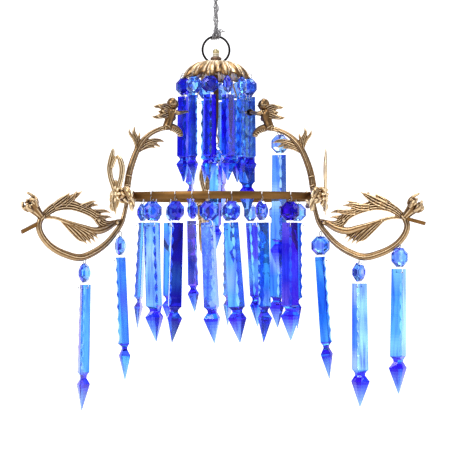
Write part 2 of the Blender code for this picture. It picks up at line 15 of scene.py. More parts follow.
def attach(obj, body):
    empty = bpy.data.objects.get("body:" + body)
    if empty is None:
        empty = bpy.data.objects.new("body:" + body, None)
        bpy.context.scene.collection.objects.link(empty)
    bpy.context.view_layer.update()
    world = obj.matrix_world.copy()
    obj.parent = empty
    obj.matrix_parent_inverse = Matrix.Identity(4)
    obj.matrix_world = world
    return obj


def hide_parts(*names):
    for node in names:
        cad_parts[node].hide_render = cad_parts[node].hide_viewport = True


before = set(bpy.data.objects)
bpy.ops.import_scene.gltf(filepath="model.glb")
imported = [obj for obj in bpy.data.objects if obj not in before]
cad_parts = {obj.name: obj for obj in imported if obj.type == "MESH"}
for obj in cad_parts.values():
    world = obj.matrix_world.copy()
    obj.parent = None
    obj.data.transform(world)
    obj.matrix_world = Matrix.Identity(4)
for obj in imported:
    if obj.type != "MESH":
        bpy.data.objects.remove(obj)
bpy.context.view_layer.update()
chance = random.Random(11)

MM = 0.001
BAND_DROP = 141.2
BAND_RADIUS = 65.5
BAND_HOOK = -2.0
CROWN_HOLE_RADIUS = 21.25
CROWN_HOOK = 75.75
ARMS = {"back": 90.0, "right": -30.0, "left": 210.0}

JUMP_RADIUS = 1.6
JUMP_WIRE = 0.24
BEAD_RADIUS = 6.1
BEAD_THICKNESS = 6.0
BEAD_HANG = 0.92
SMALL_BEAD_RADIUS = 5.6
PIN_GAP = 0.7
PIN_WIRE = 0.16
PRISM = (74.0, 10.2, 5.4)
BAND_PRISM = (70.0, 10.2, 5.4)
SHORT_PRISM = (53.0, 8.4, 4.6)
NOTCH_PITCH = 7.3
NECK_START, POINT_START = 0.70, 0.795

# Azimuth, whether long, bead yaw, prism yaw, the prism's lean, and how much painted highlight or painted
# shade its glass facets get.
CROWN_PENDANTS = [
    (-105.0, 0, 10, 20, 0, "deep"), (-75.0, 0, 60, -30, 0, "deep"), (-45.0, 0, 20, 80, 0, "light"),
    (-15.0, 0, 70, 95, 0, "light"), (15.0, 1, 30, 60, 0, "mid"), (45.0, 0, 0, 40, 0, "light"),
    (75.0, 1, 60, 85, 0, "light"), (105.0, 0, 20, 90, 0, "light"), (135.0, 1, 45, 30, 0, "mid"),
    (165.0, 0, 10, 50, 0, "deep"), (195.0, 0, 60, 85, 0, "deep"), (225.0, 0, 15, 95, 0, "light"),
]
BAND_PENDANTS = [
    (-130.0, 1, 35, 60, 2.5, "mid"), (-116.0, 1, 55, -20, -2.0, "deep"), (-107.0, 0, 90, 70, 1.5, "deep"),
    (-98.5, 1, 10, 35, 2.6, "mid"), (-87.0, 1, 20, 150, 4.0, "mid"), (-71.0, 1, 35, -75, 1.0, "mid"),
    (-53.0, 1, -30, -42, 0.5, "ink"), (30.0, 1, 60, -40, 0.0, "light"), (46.0, 1, 25, 10, 0.0, "mid"),
    (64.0, 1, 60, 50, -4.0, "light"), (78.0, 1, 70, 80, 0.0, "light"), (113.0, 1, 60, 150, 0.0, "light"),
    (123.0, 1, 75, 70, -0.8, "mid"), (133.0, 1, 15, 35, 4.0, "light"),
]
# Radius and height of the hook, bead yaw, prism yaw and lean.
ARM_PENDANTS = {
    "right": [(70.0, -22.8, 32, 85, 4.5), (94.5, -38.5, 75, 5, 0.5), (119.8, -29.4, 50, 40, -0.5)],
    "left": [(70.0, -22.8, 45, 80, -2.5), (94.5, -38.5, 40, 30, 1.5)],
}
PEG_HOOK = (41.5, 4.7, 39.9)
STEM_HOOK = 33.0


def turns(count, more=0):
    """The angles of a full turn in equal steps, and some more after it."""
    return [2 * pi * step / count for step in range(count + more)]


def spin(degrees, axis="Z"):
    return Matrix.Rotation(radians(degrees), 4, axis)


def linked(name, data):
    """A new object in the scene."""
    thing = bpy.data.objects.new(name, data)
    bpy.context.scene.collection.objects.link(thing)
    return thing


# Materials.
def node_material(name):
    material = bpy.data.materials.new(name)
    material.use_nodes = True
    tree = material.node_tree
    return material, tree, tree.nodes["Principled BSDF"]


def set_inputs(node, values):
    for name, value in values.items():
        node.inputs[name].default_value = value


def add_node(tree, kind, **values):
    node = tree.nodes.new(kind)
    for name, value in values.items():
        if name in node.inputs:
            node.inputs[name].default_value = value
        else:
            setattr(node, name, value)
    return node


def ramp_of(tree, source, stops):
    ramp = tree.nodes.new("ShaderNodeValToRGB")
    elements = ramp.color_ramp.elements
    while len(elements) < len(stops):
        elements.new(0.5)
    for element, (place, colour) in zip(elements, stops):
        element.position = place
        element.color = (*colour, 1.0)
    tree.links.new(source, ramp.inputs["Fac"])
    return ramp.outputs["Color"]


def mixed(tree, amount, first, second, blend="MIX"):
    mix = tree.nodes.new("ShaderNodeMix")
    mix.data_type = "RGBA"
    mix.blend_type = blend
    for socket, value in ((mix.inputs[0], amount), (mix.inputs[6], first), (mix.inputs[7], second)):
        if isinstance(value, bpy.types.NodeSocket):
            tree.links.new(value, socket)
        elif isinstance(value, tuple):
            socket.default_value = (*value, 1.0)
        else:
            socket.default_value = value
    return mix.outputs[2]


GRAIN = 900.0


def raised(tree, shader, noise, strength, distance):
    """A fine relief from a noise."""
    relief = add_node(tree, "ShaderNodeBump", Strength=strength, Distance=distance)
    tree.links.new(noise.outputs["Fac"], relief.inputs["Height"])
    tree.links.new(relief.outputs["Normal"], shader.inputs["Normal"])


def metal(name, dark, mid, bright, rough=0.34, metallic=1.0, mottle=0.55):
    """Cast metal: darker in the hollows (vertex value 'cavity') for patina and painted shade, lighter on
    raised edges for rubbed wear and painted highlight, mottling and fine pitting.
    """
    material, tree, shader = node_material(name)
    join = tree.links.new
    place = tree.nodes.new("ShaderNodeTexCoord").outputs["Object"]
    cavity = add_node(tree, "ShaderNodeAttribute", attribute_name="cavity").outputs["Fac"]
    coarse = add_node(tree, "ShaderNodeTexNoise", Scale=GRAIN * 0.16, Detail=5.0, Roughness=0.65)
    fine = add_node(tree, "ShaderNodeTexNoise", Scale=GRAIN, Detail=4.0, Roughness=0.6)
    for noise in (coarse, fine):
        join(place, noise.inputs["Vector"])
    # Painted light: the cavity ramp paints shade into the hollows and highlights on the raised edges,
    # besides the patina and rubbed wear.
    patina_wear_and_painted_light = ramp_of(tree, cavity, [(0.05, dark), (0.4, mid), (0.62, mid), (0.95, bright)])
    blotch = ramp_of(tree, coarse.outputs["Fac"], [(0.3, (0.62, 0.6, 0.58)), (0.62, (1.12, 1.08, 1.02))])
    join(mixed(tree, mottle, patina_wear_and_painted_light, blotch, "MULTIPLY"), shader.inputs["Base Color"])
    rougher = tree.nodes.new("ShaderNodeMapRange")
    set_inputs(rougher, {"To Min": rough * 0.75, "To Max": rough * 1.45})
    join(coarse.outputs["Fac"], rougher.inputs["Value"])
    join(rougher.outputs["Result"], shader.inputs["Roughness"])
    raised(tree, shader, fine, 0.25, 0.0002)
    shader.inputs["Metallic"].default_value = metallic
    return material


def glass(name):
    """Cobalt glass: each facet's own tint from the corner colours 'tint', which paint highlights,
    reflections and shade onto the facets, under soft upright streaks; it also glows faintly in these
    colours.
    """
    material, tree, shader = node_material(name)
    join = tree.links.new
    tint = add_node(tree, "ShaderNodeAttribute", attribute_name="tint").outputs["Color"]
    place = tree.nodes.new("ShaderNodeTexCoord").outputs["Object"]
    stretch = add_node(tree, "ShaderNodeMapping", Scale=(430.0, 430.0, 34.0))
    join(place, stretch.inputs["Vector"])
    streak = add_node(tree, "ShaderNodeTexNoise", Scale=1.0, Detail=2.0, Roughness=0.5, Distortion=0.7)
    join(stretch.outputs["Vector"], streak.inputs["Vector"])
    soft = ramp_of(tree, streak.outputs["Fac"], [
        (0.36, (0.34, 0.42, 0.78)), (0.47, (0.85, 0.88, 0.98)), (0.56, (1.0, 1.0, 1.0)),
    ])
    colour = mixed(tree, 1.0, tint, soft, "MULTIPLY")
    join(colour, shader.inputs["Base Color"])
    # Painted glow: the facet colours feed a faint emission, though the glass is no lamp.
    join(colour, shader.inputs["Emission Color"])
    set_inputs(shader, {
        "Emission Strength": 0.03, "Transmission Weight": 0.93, "Roughness": 0.015, "IOR": 1.52,
        "Specular Tint": (0.36, 0.36, 1.0, 1.0),
    })
    wave = add_node(tree, "ShaderNodeTexNoise", Scale=260.0, Detail=1.0)
    join(place, wave.inputs["Vector"])
    raised(tree, shader, wave, 0.05, 0.0003)
    return material


BRASS = metal("brass_look", (0.04, 0.018, 0.006), (0.20, 0.112, 0.046), (0.72, 0.54, 0.32))
PALE = metal("pale_brass_look", (0.05, 0.023, 0.008), (0.40, 0.25, 0.11), (0.92, 0.76, 0.50))
BAND = metal("band_look", (0.05, 0.022, 0.006), (0.115, 0.053, 0.014), (0.2, 0.1, 0.03), rough=0.45)
GILT = metal("crown_look", (0.20, 0.11, 0.045), (0.74, 0.52, 0.28), (0.98, 0.86, 0.66), rough=0.36)
IRON = metal("bail_look", (0.012, 0.01, 0.01), (0.045, 0.038, 0.035), (0.14, 0.125, 0.12), rough=0.34)
UMBER = metal("collar_look", (0.014, 0.008, 0.006), (0.07, 0.042, 0.03), (0.2, 0.13, 0.09), rough=0.38)
OLIVE = metal("knob_look", (0.04, 0.03, 0.01), (0.2, 0.165, 0.07), (0.5, 0.43, 0.24), rough=0.3)
CREAM = metal("neck_look", (0.2, 0.17, 0.11), (0.56, 0.49, 0.34), (0.8, 0.74, 0.6), metallic=0.5)
# Painted sheen: the steel is near-white and mostly diffuse, standing in for the bright reflections of
# polished steel wire.
SILVER = metal(
    "silver_look", (0.2, 0.19, 0.19), (0.86, 0.83, 0.82), (1.0, 0.99, 0.98),
    rough=0.3, metallic=0.2, mottle=0.2,
)
GREY = metal("nut_look", (0.14, 0.11, 0.15), (0.34, 0.29, 0.37), (0.62, 0.56, 0.66), rough=0.4)
DARK = metal("ball_look", (0.015, 0.01, 0.008), (0.06, 0.04, 0.028), (0.2, 0.15, 0.1), rough=0.36)
GLASS = glass("glass_look")


# Shapes.
class Shape:
    """Points, the faces between them and, for glass only, a tint for each face."""

    def __init__(self):
        self.points, self.faces, self.tints = [], [], []

    def add(self, points, faces, tints=()):
        start = len(self.points)
        self.points.extend(tuple(map(float, p)) for p in points)
        self.faces.extend(tuple(start + i for i in face) for face in faces)
        self.tints.extend(tints)

    def moved(self, other, matrix):
        self.add([matrix @ Vector(p) for p in other.points], other.faces)

    def rows(self, rows, closed=True, caps=True):
        """A skin over rows of points; each row is a ring when closed."""
        count, size = len(rows), len(rows[0])
        faces = []
        for low in range(0, (count - 1) * size, size):
            for c in range(size if closed else size - 1):
                d = (c + 1) % size
                faces.append((low + c, low + d, low + size + d, low + size + c))
        if caps and closed:
            faces.append(tuple(range(size))[::-1])
            faces.append(tuple(range((count - 1) * size, count * size)))
        self.add([p for row in rows for p in row], faces)


def spline(points, steps):
    """A smooth line through the points (any number of values each), steps per stretch."""
    points = np.array(points, float)
    ends = np.vstack([2 * points[0] - points[1], points, 2 * points[-1] - points[-2]])
    line = []
    for a, b, c, d in zip(ends, ends[1:], ends[2:], ends[3:]):
        for step in range(steps):
            t = step / steps
            square, cube = 2 * a - 5 * b + 4 * c - d, 3 * b - a - 3 * c + d
            line.append(0.5 * (2 * b + (c - a) * t + square * t**2 + cube * t**3))
    line.append(points[-1])
    return np.array(line)


def unit(ways):
    """The directions at length one."""
    return ways / np.maximum(np.linalg.norm(ways, axis=1, keepdims=True), 1e-9)


def plane_normals(line):
    """In-plane normals along a line that lies in the arm's plane."""
    tangents = unit(np.gradient(line[:, :2], axis=0))
    return np.stack([-tangents[:, 1], tangents[:, 0]], axis=1)


def sweep(shape, points, sides=20, flat=1.0, groove=0.0):
    """A bar in the arm's plane through (r, h, radius); flat thins it sideways, groove cuts its two sides."""
    line = spline(points, 6)
    rows = []
    for (r, h, radius), (nr, nh) in zip(line, plane_normals(line)):
        row = []
        for angle in turns(sides):
            across, out = cos(angle), sin(angle)
            dip = 1 - groove * exp(-((across / 0.26) ** 2))
            reach = across * radius * dip
            row.append((r + nr * reach, out * radius * flat * dip, h + nh * reach))
        rows.append(row)
    shape.rows(rows)


def blade(shape, points, thick=1.0, ridges=3, steps=7, across=13, cup=0.0, offset=0.0, edge=0.32):
    """A veined leaf blade in the arm's plane through (r, h, half width), ridged along its length."""
    line = spline(points, steps)
    rows = []
    for (r, h, half), (nr, nh) in zip(line, plane_normals(line)):
        half = max(half, 0.05)
        slim = min(1.0, 0.35 + half * 0.5)
        front, back = [], []
        for place in range(across):
            u = 2 * place / (across - 1) - 1
            vein = edge + (1 - edge) * (0.5 + 0.5 * cos(ridges * pi * u)) * (1 - 0.35 * u * u)
            bow = cup * half * u * u
            x, y, z = r + nr * half * u, offset + bow, h + nh * half * u
            front.append((x, y + thick / 2 * vein * slim, z))
            back.append((x, y - thick / 2 * vein * slim, z))
        rows.append(front + back[::-1])
    shape.rows(rows)


def wire(shape, points, radius=0.0, steps=5, sides=8, smooth=True):
    """A round wire through (x, y, z) or (x, y, z, radius) points anywhere."""
    points = [tuple(p) if len(p) == 4 else (*p, radius) for p in points]
    line = spline(points, steps) if smooth else np.array(points, float)
    tangents = unit(np.gradient(line[:, :3], axis=0))
    side_way = np.cross(tangents[0], [0.123, 0.456, 0.881])
    rows = []
    for (x, y, z, thick), tangent in zip(line, tangents):
        side_way = side_way - tangent * side_way.dot(tangent)
        side_way = side_way / max(np.linalg.norm(side_way), 1e-9)
        other = np.cross(tangent, side_way)
        heart = np.array([x, y, z])
        rows.append([heart + thick * (cos(a) * side_way + sin(a) * other) for a in turns(sides)])
    shape.rows(rows)


def pair(shape, points, **more):
    """The same wire on both sides of the arm's plane."""
    for half in (-1, 1):
        wire(shape, [(x, half * y, *rest) for x, y, *rest in points], **more)


def loop(shape, centre, radius, wire_radius, axis, stretch=1.0, around=28, sides=8):
    """A closed wire ring about an axis, drawn out along its own second direction when stretched."""
    turn = Vector(axis).to_track_quat("Z", "Y").to_matrix()
    up = Vector((0, 0, 1))
    rows = []
    for angle in turns(around, 1):
        heart = Vector((cos(angle) * radius, sin(angle) * radius * stretch, 0))
        out = Vector((cos(angle), sin(angle), 0))
        ring = [heart + wire_radius * (cos(a) * out + sin(a) * up) for a in turns(sides)]
        rows.append([Vector(centre) + turn @ point for point in ring])
    shape.rows(rows, caps=False)


def ball(shape, centre, radii, segments=20, rings=14, shift=None):
    """An ellipsoid; shift(direction) may return an added share of the radius."""
    radii = (radii,) * 3 if isinstance(radii, (int, float)) else radii
    rows = []
    for ring in range(rings + 1):
        down = pi * max(0.01, min(0.99, ring / rings))
        row = []
        for angle in turns(segments):
            way = (sin(down) * cos(angle), sin(down) * sin(angle), cos(down))
            grow = 1 + (shift(way) if shift else 0)
            row.append(tuple(c + d * q * grow for c, d, q in zip(centre, way, radii)))
        rows.append(row)
    shape.rows(rows)


def turned(shape, profile, middle=0.0, sides=48, flute=0.0, flutes=12, closed=False):
    """A (radius, height) outline turned about the vertical at a radius of the arm; flute ripples it."""
    rows = []
    for radius, level in profile + ([profile[0]] if closed else []):
        row = []
        for angle in turns(sides):
            out = radius * (1 + flute * cos(flutes * angle))
            row.append((middle + out * cos(angle), out * sin(angle), level))
        rows.append(row)
    shape.rows(rows, caps=not closed)


def values_of(things, name, size, kind=float):
    """A mesh's values of one name, as rows."""
    flat = np.empty(len(things) * size, kind)
    things.foreach_get(name, flat)
    return flat.reshape(-1, size)


def cavity_of(mesh):
    """How hollow or raised each vertex is, from 0 hollow to 1 raised, kept as the value 'cavity'."""
    points = values_of(mesh.vertices, "co", 3)
    normals = values_of(mesh.vertex_normals, "vector", 3)
    pairs = values_of(mesh.edges, "vertices", 2, int)

    def joined(values):
        total = np.zeros(values.shape)
        for a, b in ((0, 1), (1, 0)):
            np.add.at(total, pairs[:, a], values[pairs[:, b]])
        return total

    length = max(np.linalg.norm(points[pairs[:, 0]] - points[pairs[:, 1]], axis=1).mean(), 1e-9)
    number = np.maximum(joined(np.ones(len(points))), 1)
    hollow = ((joined(points) / number[:, None] - points) * normals).sum(axis=1) / length
    for _ in range(3):
        hollow = 0.4 * hollow + 0.6 * joined(hollow) / number
    value = np.clip(0.5 - hollow * 6.0, 0, 1).astype(np.float32)
    mesh.attributes.new("cavity", "FLOAT", "POINT").data.foreach_set("value", value)


def melted(thing, voxel, rounds):
    """The object's shells melted into one casting of that grain, and smoothed."""
    remesh = thing.modifiers.new("melt", "REMESH")
    remesh.mode, remesh.voxel_size = "VOXEL", voxel * MM
    smooth = thing.modifiers.new("ease", "SMOOTH")
    smooth.factor, smooth.iterations = 0.5, rounds
    mesh = bpy.data.meshes.new_from_object(thing.evaluated_get(bpy.context.evaluated_depsgraph_get()))
    thing.modifiers.clear()
    thing.data = mesh
    return mesh


def piece(
    name, shape, look, slot, replaces=(), azimuth=0.0, place=(0, 0, 0), body="frame",
    voxel=0.0, sharp=None, rounds=2,
):
    """One shown piece made from a shape, on a body; voxel melts it, sharp keeps edges above that angle."""
    turn = Matrix.Translation((Vector(place) - Vector((0, 0, BAND_DROP))) * MM)
    turn = turn @ spin(azimuth) @ Matrix.Scale(MM, 4)
    mesh = bpy.data.meshes.new(name)
    mesh.from_pydata([tuple(turn @ Vector(p)) for p in shape.points], [], shape.faces)
    mesh.update()
    thing = linked(name, mesh)
    if voxel:
        mesh = melted(thing, voxel, rounds)
    mesh.materials.append(look)
    mesh.shade_smooth()
    if sharp is not None:
        mesh.set_sharp_from_angle(angle=radians(sharp))
    cavity_of(mesh)
    if shape.tints:
        layer = mesh.color_attributes.new("tint", "FLOAT_COLOR", "CORNER")
        colours = [(*t, 1.0) for t, face in zip(shape.tints, shape.faces) for _ in face]
        layer.data.foreach_set("color", np.array(colours, np.float32).ravel())
    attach(thing, body)
    if replaces:
        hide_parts(*replaces)


def cast(name, shape, side, look=BRASS, replaces=(), **more):
    """A brass piece of one arm."""
    piece(name, shape, look, "aged_brass", replaces, ARMS[side], **more)


# Chain, bail, collar and knob.
BAIL_RADIUS, BAIL_CENTRE = 8.5, 92.8
BAIL_TOP = BAIL_CENTRE + BAIL_RADIUS
RING_BOTTOM, RING_RADIUS = 130.0, 6.0
TWIST_START, TWIST_END, TWIST_STEPS = BAIL_TOP + 3.4, RING_BOTTOM + 0.6, 12
LOOSE_ENDS = [
    (0.0, [(-1.5, -0.9, 1.2), (-0.6, -1.4, 2.6), (0.9, -1.0, 3.1), (1.6, 0.3, 2.2)]),
    (0.4, [(1.5, 0.9, 1.0), (0.2, 1.3, 2.7), (-1.1, 0.6, 3.4)]),
    (0.0, [(0.8, -0.8, 2.6), (2.6, -1.2, 3.4), (4.1, -1.0, 3.0), (5.2, -0.9, 3.3)]),
]


def chain_link(shape, centre, along, roll, length=1.45, half=0.86, thick=0.28):
    """One oval link, drawn out along a direction and rolled about it."""
    turn = Vector(along).normalized().to_track_quat("Y", "Z").to_matrix() @ Matrix.Rotation(roll, 3, "Y")
    link = Shape()
    loop(link, (0, 0, 0), half, thick, (0, 0, 1), stretch=length / half, around=20, sides=7)
    shape.moved(link, Matrix.Translation(centre) @ turn.to_4x4())


def strand(shape, line, pitch, roll):
    """Links along a line, every other one turned a quarter."""
    line = spline(line, 12)
    lengths = np.r_[0, np.cumsum(np.linalg.norm(np.diff(line, axis=0), axis=1))]
    count = max(2, round(lengths[-1] / pitch))
    for number in range(count):
        here = (number + 0.5) * lengths[-1] / count
        spot, ahead, behind = (
            Vector([np.interp(at, lengths, line[:, k]) for k in range(3)])
            for at in (here, min(here + 0.4, lengths[-1]), max(here - 0.4, 0))
        )
        chain_link(shape, spot, ahead - behind, roll + (number % 2) * pi / 2)


def chain():
    """Two strands twisted up to the hanging ring, with a knot and loose ends round the bail."""
    links = Shape()
    for side in (0, 1):
        path = []
        for step in range(TWIST_STEPS + 1):
            angle = pi * side + step * 0.95
            level = TWIST_START + (TWIST_END - TWIST_START) * step / TWIST_STEPS
            path.append((0.85 * cos(angle), 0.85 * sin(angle), level))
        strand(links, path, 1.75, 0.5 + side)
    for number in range(4):
        offset = (number - 1.5) * 1.25
        level = BAIL_TOP + 0.35 - abs(offset) * 0.14
        circle = [
            (offset + 0.5 * sin(a + number), 1.35 * cos(a + number), level + 1.45 * sin(a + number))
            for a in turns(8, 1)
        ]
        strand(links, circle, 1.7, number * 0.7)
    for roll, path in LOOSE_ENDS:
        strand(links, [(x, y, BAIL_TOP + z) for x, y, z in path], 1.7, roll)
    piece("chain_links", links, SILVER, "silver_steel", ["hanging_chain"], body="chain")
    ring = Shape()
    loop(ring, (0, 0, RING_BOTTOM + RING_RADIUS), RING_RADIUS, 0.8, (1, 0, 0), around=64, sides=16)
    piece("hanging_ring_look", ring, SILVER, "silver_steel", ["hanging_ring"], body="hanger")


def bail_and_collar():
    """The bail's wire, and the drum that it runs through: two discs with rings and posts between."""
    bail = Shape()
    loop(bail, (0, 0, BAIL_CENTRE), BAIL_RADIUS, 0.74, (0, 1, 0), around=96, sides=18)
    piece("bail_look", bail, IRON, "dark_steel", ["bail_ring"], body="bail")
    collar = Shape()
    turned(collar, [(0.05, 81.2), (2.6, 81.2), (3.4, 81.7), (3.65, 82.6), (3.3, 83.2)], sides=40)
    turned(collar, [(2.7, 83.0), (2.7, 83.2)], sides=30)
    for side in (-1, 1):
        loop(collar, (side * 2.3, 0, 84.3), 2.0, 0.5, (1, 0, 0))
    turned(collar, [(2.9, 86.3), (3.5, 86.6), (3.6, 87.4), (3.2, 88.1), (2.3, 88.5), (0.05, 88.7)], sides=40)
    for side in (-1, 1):
        for x in (0.6, -0.6):
            post = [(x, side * 2.7, 83.0), (x, side * 2.9, 84.8), (x, side * 2.7, 86.6)]
            wire(collar, post, 0.75, sides=10)
    piece("collar_look", collar, UMBER, "dark_steel", ["bail_collar"])


def knob_and_neck():
    knob = Shape()
    turned(knob, [
        (0.05, 90.4), (1.35, 90.4), (1.95, 90.8), (2.15, 91.4), (2.0, 92.2), (1.5, 92.9), (1.0, 93.3),
        (0.05, 93.4),
    ], flute=0.05)
    ball(knob, (0, 0, 92.9), (1.0, 1.0, 0.55), 24, 12)
    piece("knob_look", knob, OLIVE, "olive_brass", ["finial_knob"])
    neck = Shape()
    turned(neck, [
        (0.05, 88.5), (2.2, 88.5), (2.3, 88.8), (1.95, 89.1), (1.9, 89.9), (2.15, 90.2), (2.15, 90.5),
        (0.05, 90.5),
    ], sides=40)
    piece("knob_neck", neck, CREAM, "olive_brass")


# The crown, the stem and its straps, and the band.
CROWN_LINE = spline([
    (3.9, 83.6), (6.4, 85.0), (9.5, 85.0), (12.8, 83.9), (16.2, 81.7), (19.0, 78.6), (20.9, 74.6),
], 6)
CROWN_LOBES = 12
CROWN_FIRST = radians(-105)
CROWN_THICKNESS = 0.65
LACE = [(8.6, 84.9, -0.11), (11.2, 84.1, -0.09), (12.3, 83.4, 0.0), (11.2, 84.1, 0.09), (8.6, 84.9, 0.11)]


def crown_point(radius, level, share, angle, inward=0.0):
    """The dome's skin: pillowed lobes that droop at their middles, with a notch between them at the rim."""
    lobe = cos(CROWN_LOBES * (angle - CROWN_FIRST))
    pillow = 0.8 * share * (0.5 + 0.5 * lobe) - 2.0 * min(1.0, 1.6 * share) * (0.5 - 0.5 * lobe) ** 5
    lift = 3.2 * (max(0.0, share - 0.6) / 0.4) ** 1.3 * (0.5 - 0.5 * lobe) ** 2
    flute = 0.12 * share * cos(5 * CROWN_LOBES * (angle - CROWN_FIRST))
    out = radius + pillow + flute - inward - 0.5 * lift
    return (out * cos(angle), out * sin(angle), level + lift - inward * 0.7 + 0.25 * pillow)


def crown():
    """The cap's skin, a rope in each notch, two veins on each lobe, lace round the top and a rolled lip."""
    cap = Shape()
    last = len(CROWN_LINE) - 1
    line = [(radius, level, index / last) for index, (radius, level) in enumerate(CROWN_LINE)]
    rows = [
        [crown_point(*place, angle, inward) for angle in turns(240)]
        for inward, order in ((0.0, line), (CROWN_THICKNESS, line[::-1]))
        for place in order
    ]
    cap.rows(rows + rows[:1], caps=False)
    for lobe in range(CROWN_LOBES):
        middle = CROWN_FIRST + 2 * pi * lobe / CROWN_LOBES
        seam = middle + pi / CROWN_LOBES
        rope = [
            (*crown_point(radius + 0.25, level + 0.2, share, seam), 0.42 - 0.12 * share * last / (last + 1))
            for radius, level, share in line[4::3]
        ]
        wire(cap, rope, steps=3, sides=10)
        for side in (-1, 1):
            vein = [
                crown_point(radius + 0.15, level, share, middle + side * (0.02 + 0.07 * share))
                for radius, level, share in line[12:last - 1:4]
            ]
            wire(cap, vein, 0.2, steps=3)
    for angle in turns(24):
        arc = [crown_point(radius, level + 0.15, 0.2, angle + turn) for radius, level, turn in LACE]
        wire(cap, arc, 0.26, steps=4)
    lip = [(3.7, 82.4), (4.6, 82.2), (5.6, 83.9), (4.4, 84.3), (3.7, 83.9)]
    turned(cap, lip, sides=60, flute=0.02, flutes=20, closed=True)
    piece("crown_look", cap, GILT, "pale_gilt", ["crown_cap"], sharp=45)
    leaf = Shape()
    veined = [(0, 82.2, 0.5), (0, 80.6, 1.2), (0, 78.6, 1.5), (0, 76.6, 0.8), (0, 75.0, 0.1)]
    blade(leaf, veined, thick=0.8, offset=-16.6)
    piece("crown_leaf", leaf, UMBER, "pale_gilt", azimuth=5)


def stem():
    """The flat bar under the crown, two collars at its top and the wire hook at its tip."""
    bar = Shape()
    rows = []
    halves = [(0.95, 80.8), (1.35, 74.0), (1.5, 62.0), (1.4, 52.0), (0.8, 44.0), (0.45, 40.2)]
    for half, level in spline(halves, 5):
        row = []
        for angle in turns(24):
            x, y = copysign(abs(cos(angle)) ** 0.5, cos(angle)), copysign(abs(sin(angle)) ** 0.6, sin(angle))
            row.append((half * 1.1 * x, 0.85 * min(1.0, half) * y, level))
        rows.append(row)
    bar.rows(rows)
    for level in (79.0, 77.6):
        turned(bar, [(1.3, level - 0.35), (1.75, level), (1.3, level + 0.35)], sides=28)
    hook = [(0, 41.0), (0.5, 38.6), (1.5, 36.6), (1.2, 34.4), (0, 33.6), (-1.3, 34.4), (-1.2, 35.7)]
    wire(bar, [(x, 0, level) for x, level in hook], 0.4, sides=10)
    piece("stem_look", bar, BRASS, "aged_brass", ["centre_stem"])


def straps():
    """A hub under the crown and a thin strap from it to each putto's hands."""
    spider = Shape()
    hub = [(2.3, 80.2), (2.3, 79.0), (5.4, 78.7), (7.6, 79.0), (8.0, 79.6), (7.6, 80.2)]
    turned(spider, hub, sides=60, closed=True)
    for azimuth in ARMS.values():
        strap = Shape()
        wire(strap, [
            (7.0, 0, 79.8, 0.7), (9.2, 0, 76.8, 0.62), (11.5, 0, 71.0, 0.55), (15.0, 0, 61.0, 0.55),
            (17.8, 0, 55.0, 0.6), (19.4, 0, 53.2, 0.7),
        ], sides=12)
        ball(strap, (19.7, 0, 52.9), 0.95, 16, 12)
        loop(strap, (9.2, 0, 76.8), 0.75, 0.22, (0.6, 0, -0.8))
        spider.moved(strap, spin(azimuth))
    piece("straps_look", spider, BRASS, "aged_brass", ["strap_spider"])


def band():
    """The flat ring, and a wire lapped over its edge at each of its pendants."""
    ring = Shape()
    section = [
        (-0.5, -2.1), (-0.5, 2.1), (-0.35, 2.25), (0.35, 2.25), (0.5, 2.1), (0.56, 0.0), (0.5, -2.1),
        (0.35, -2.25), (-0.35, -2.25),
    ]
    ring.rows([
        [((BAND_RADIUS + u) * cos(angle), (BAND_RADIUS + u) * sin(angle), v) for u, v in section]
        for angle in turns(192, 1)
    ], caps=False)
    piece("band_look", ring, BAND, "band_bronze", ["ring_band"], sharp=50)
    lap = Shape()
    wire(lap, [
        (65.0, 0.3, -2.6), (64.6, 0.2, -1.0), (64.6, 0, 1.6), (65.0, 0, 2.75), (65.9, -0.1, 2.8),
        (66.3, -0.2, 1.7), (66.3, -0.3, 0.6),
    ], 0.24)
    ball(lap, (66.35, -0.3, 0.5), 0.34, 10, 8)
    laps = Shape()
    for azimuth, *_ in BAND_PENDANTS:
        laps.moved(lap, spin(azimuth))
    piece("band_wires", laps, SILVER, "band_bronze")


chain()
bail_and_collar()
knob_and_neck()
crown()
stem()
straps()
band()


# The scroll arms.
C_SCROLL = [
    (65.3, -2.6, 1.2), (66.2, -7.0, 1.25), (67.4, -11.5, 1.3), (69.0, -16.0, 1.4), (72.4, -20.8, 1.5),
    (79.4, -28.2, 1.7), (87.8, -33.5, 1.9), (97.5, -36.6, 2.0), (107.5, -34.4, 2.0),
    (116.1, -30.2, 1.85), (122.0, -24.4, 1.75), (124.4, -18.5, 1.7), (122.9, -13.2, 1.6),
]
S_STEM = [
    (122.9, -13.2, 1.1), (118.0, -13.0, 1.05), (112.3, -13.7, 1.1), (104.2, -16.4, 1.5), (94.1, -19.4, 2.0),
    (87.4, -21.0, 2.3), (80.6, -19.7, 2.3), (73.7, -16.2, 1.8), (68.8, -14.8, 1.2),
]
FAN = [
    [(109.5, -15.0, 0.8), (103.0, -20.8, 1.3), (98.0, -25.4, 1.2), (95.4, -27.4, 0.15)],
    [(107.5, -15.6, 0.9), (100.5, -20.6, 1.4), (95.6, -25.4, 1.3), (92.6, -28.9, 0.15)],
    [(105.5, -16.2, 0.9), (98.0, -20.6, 1.4), (93.0, -24.8, 1.3), (89.6, -28.9, 0.15)],
    [(103.5, -16.8, 0.9), (96.0, -20.4, 1.4), (90.6, -24.0, 1.2), (87.0, -28.0, 0.15)],
    [(101.5, -17.4, 0.9), (94.4, -20.0, 1.3), (89.0, -22.6, 1.1), (85.2, -26.0, 0.15)],
]
ARCH = [
    (123.0, -14.2, 1.3), (119.6, -10.6, 2.1), (114.6, -7.4, 2.7), (109.0, -5.8, 3.1), (103.0, -5.9, 3.0),
    (97.0, -7.6, 2.6), (91.0, -9.8, 2.5), (86.4, -12.6, 2.5), (83.2, -16.0, 2.6), (78.6, -17.0, 2.1),
    (73.6, -15.7, 1.3),
]
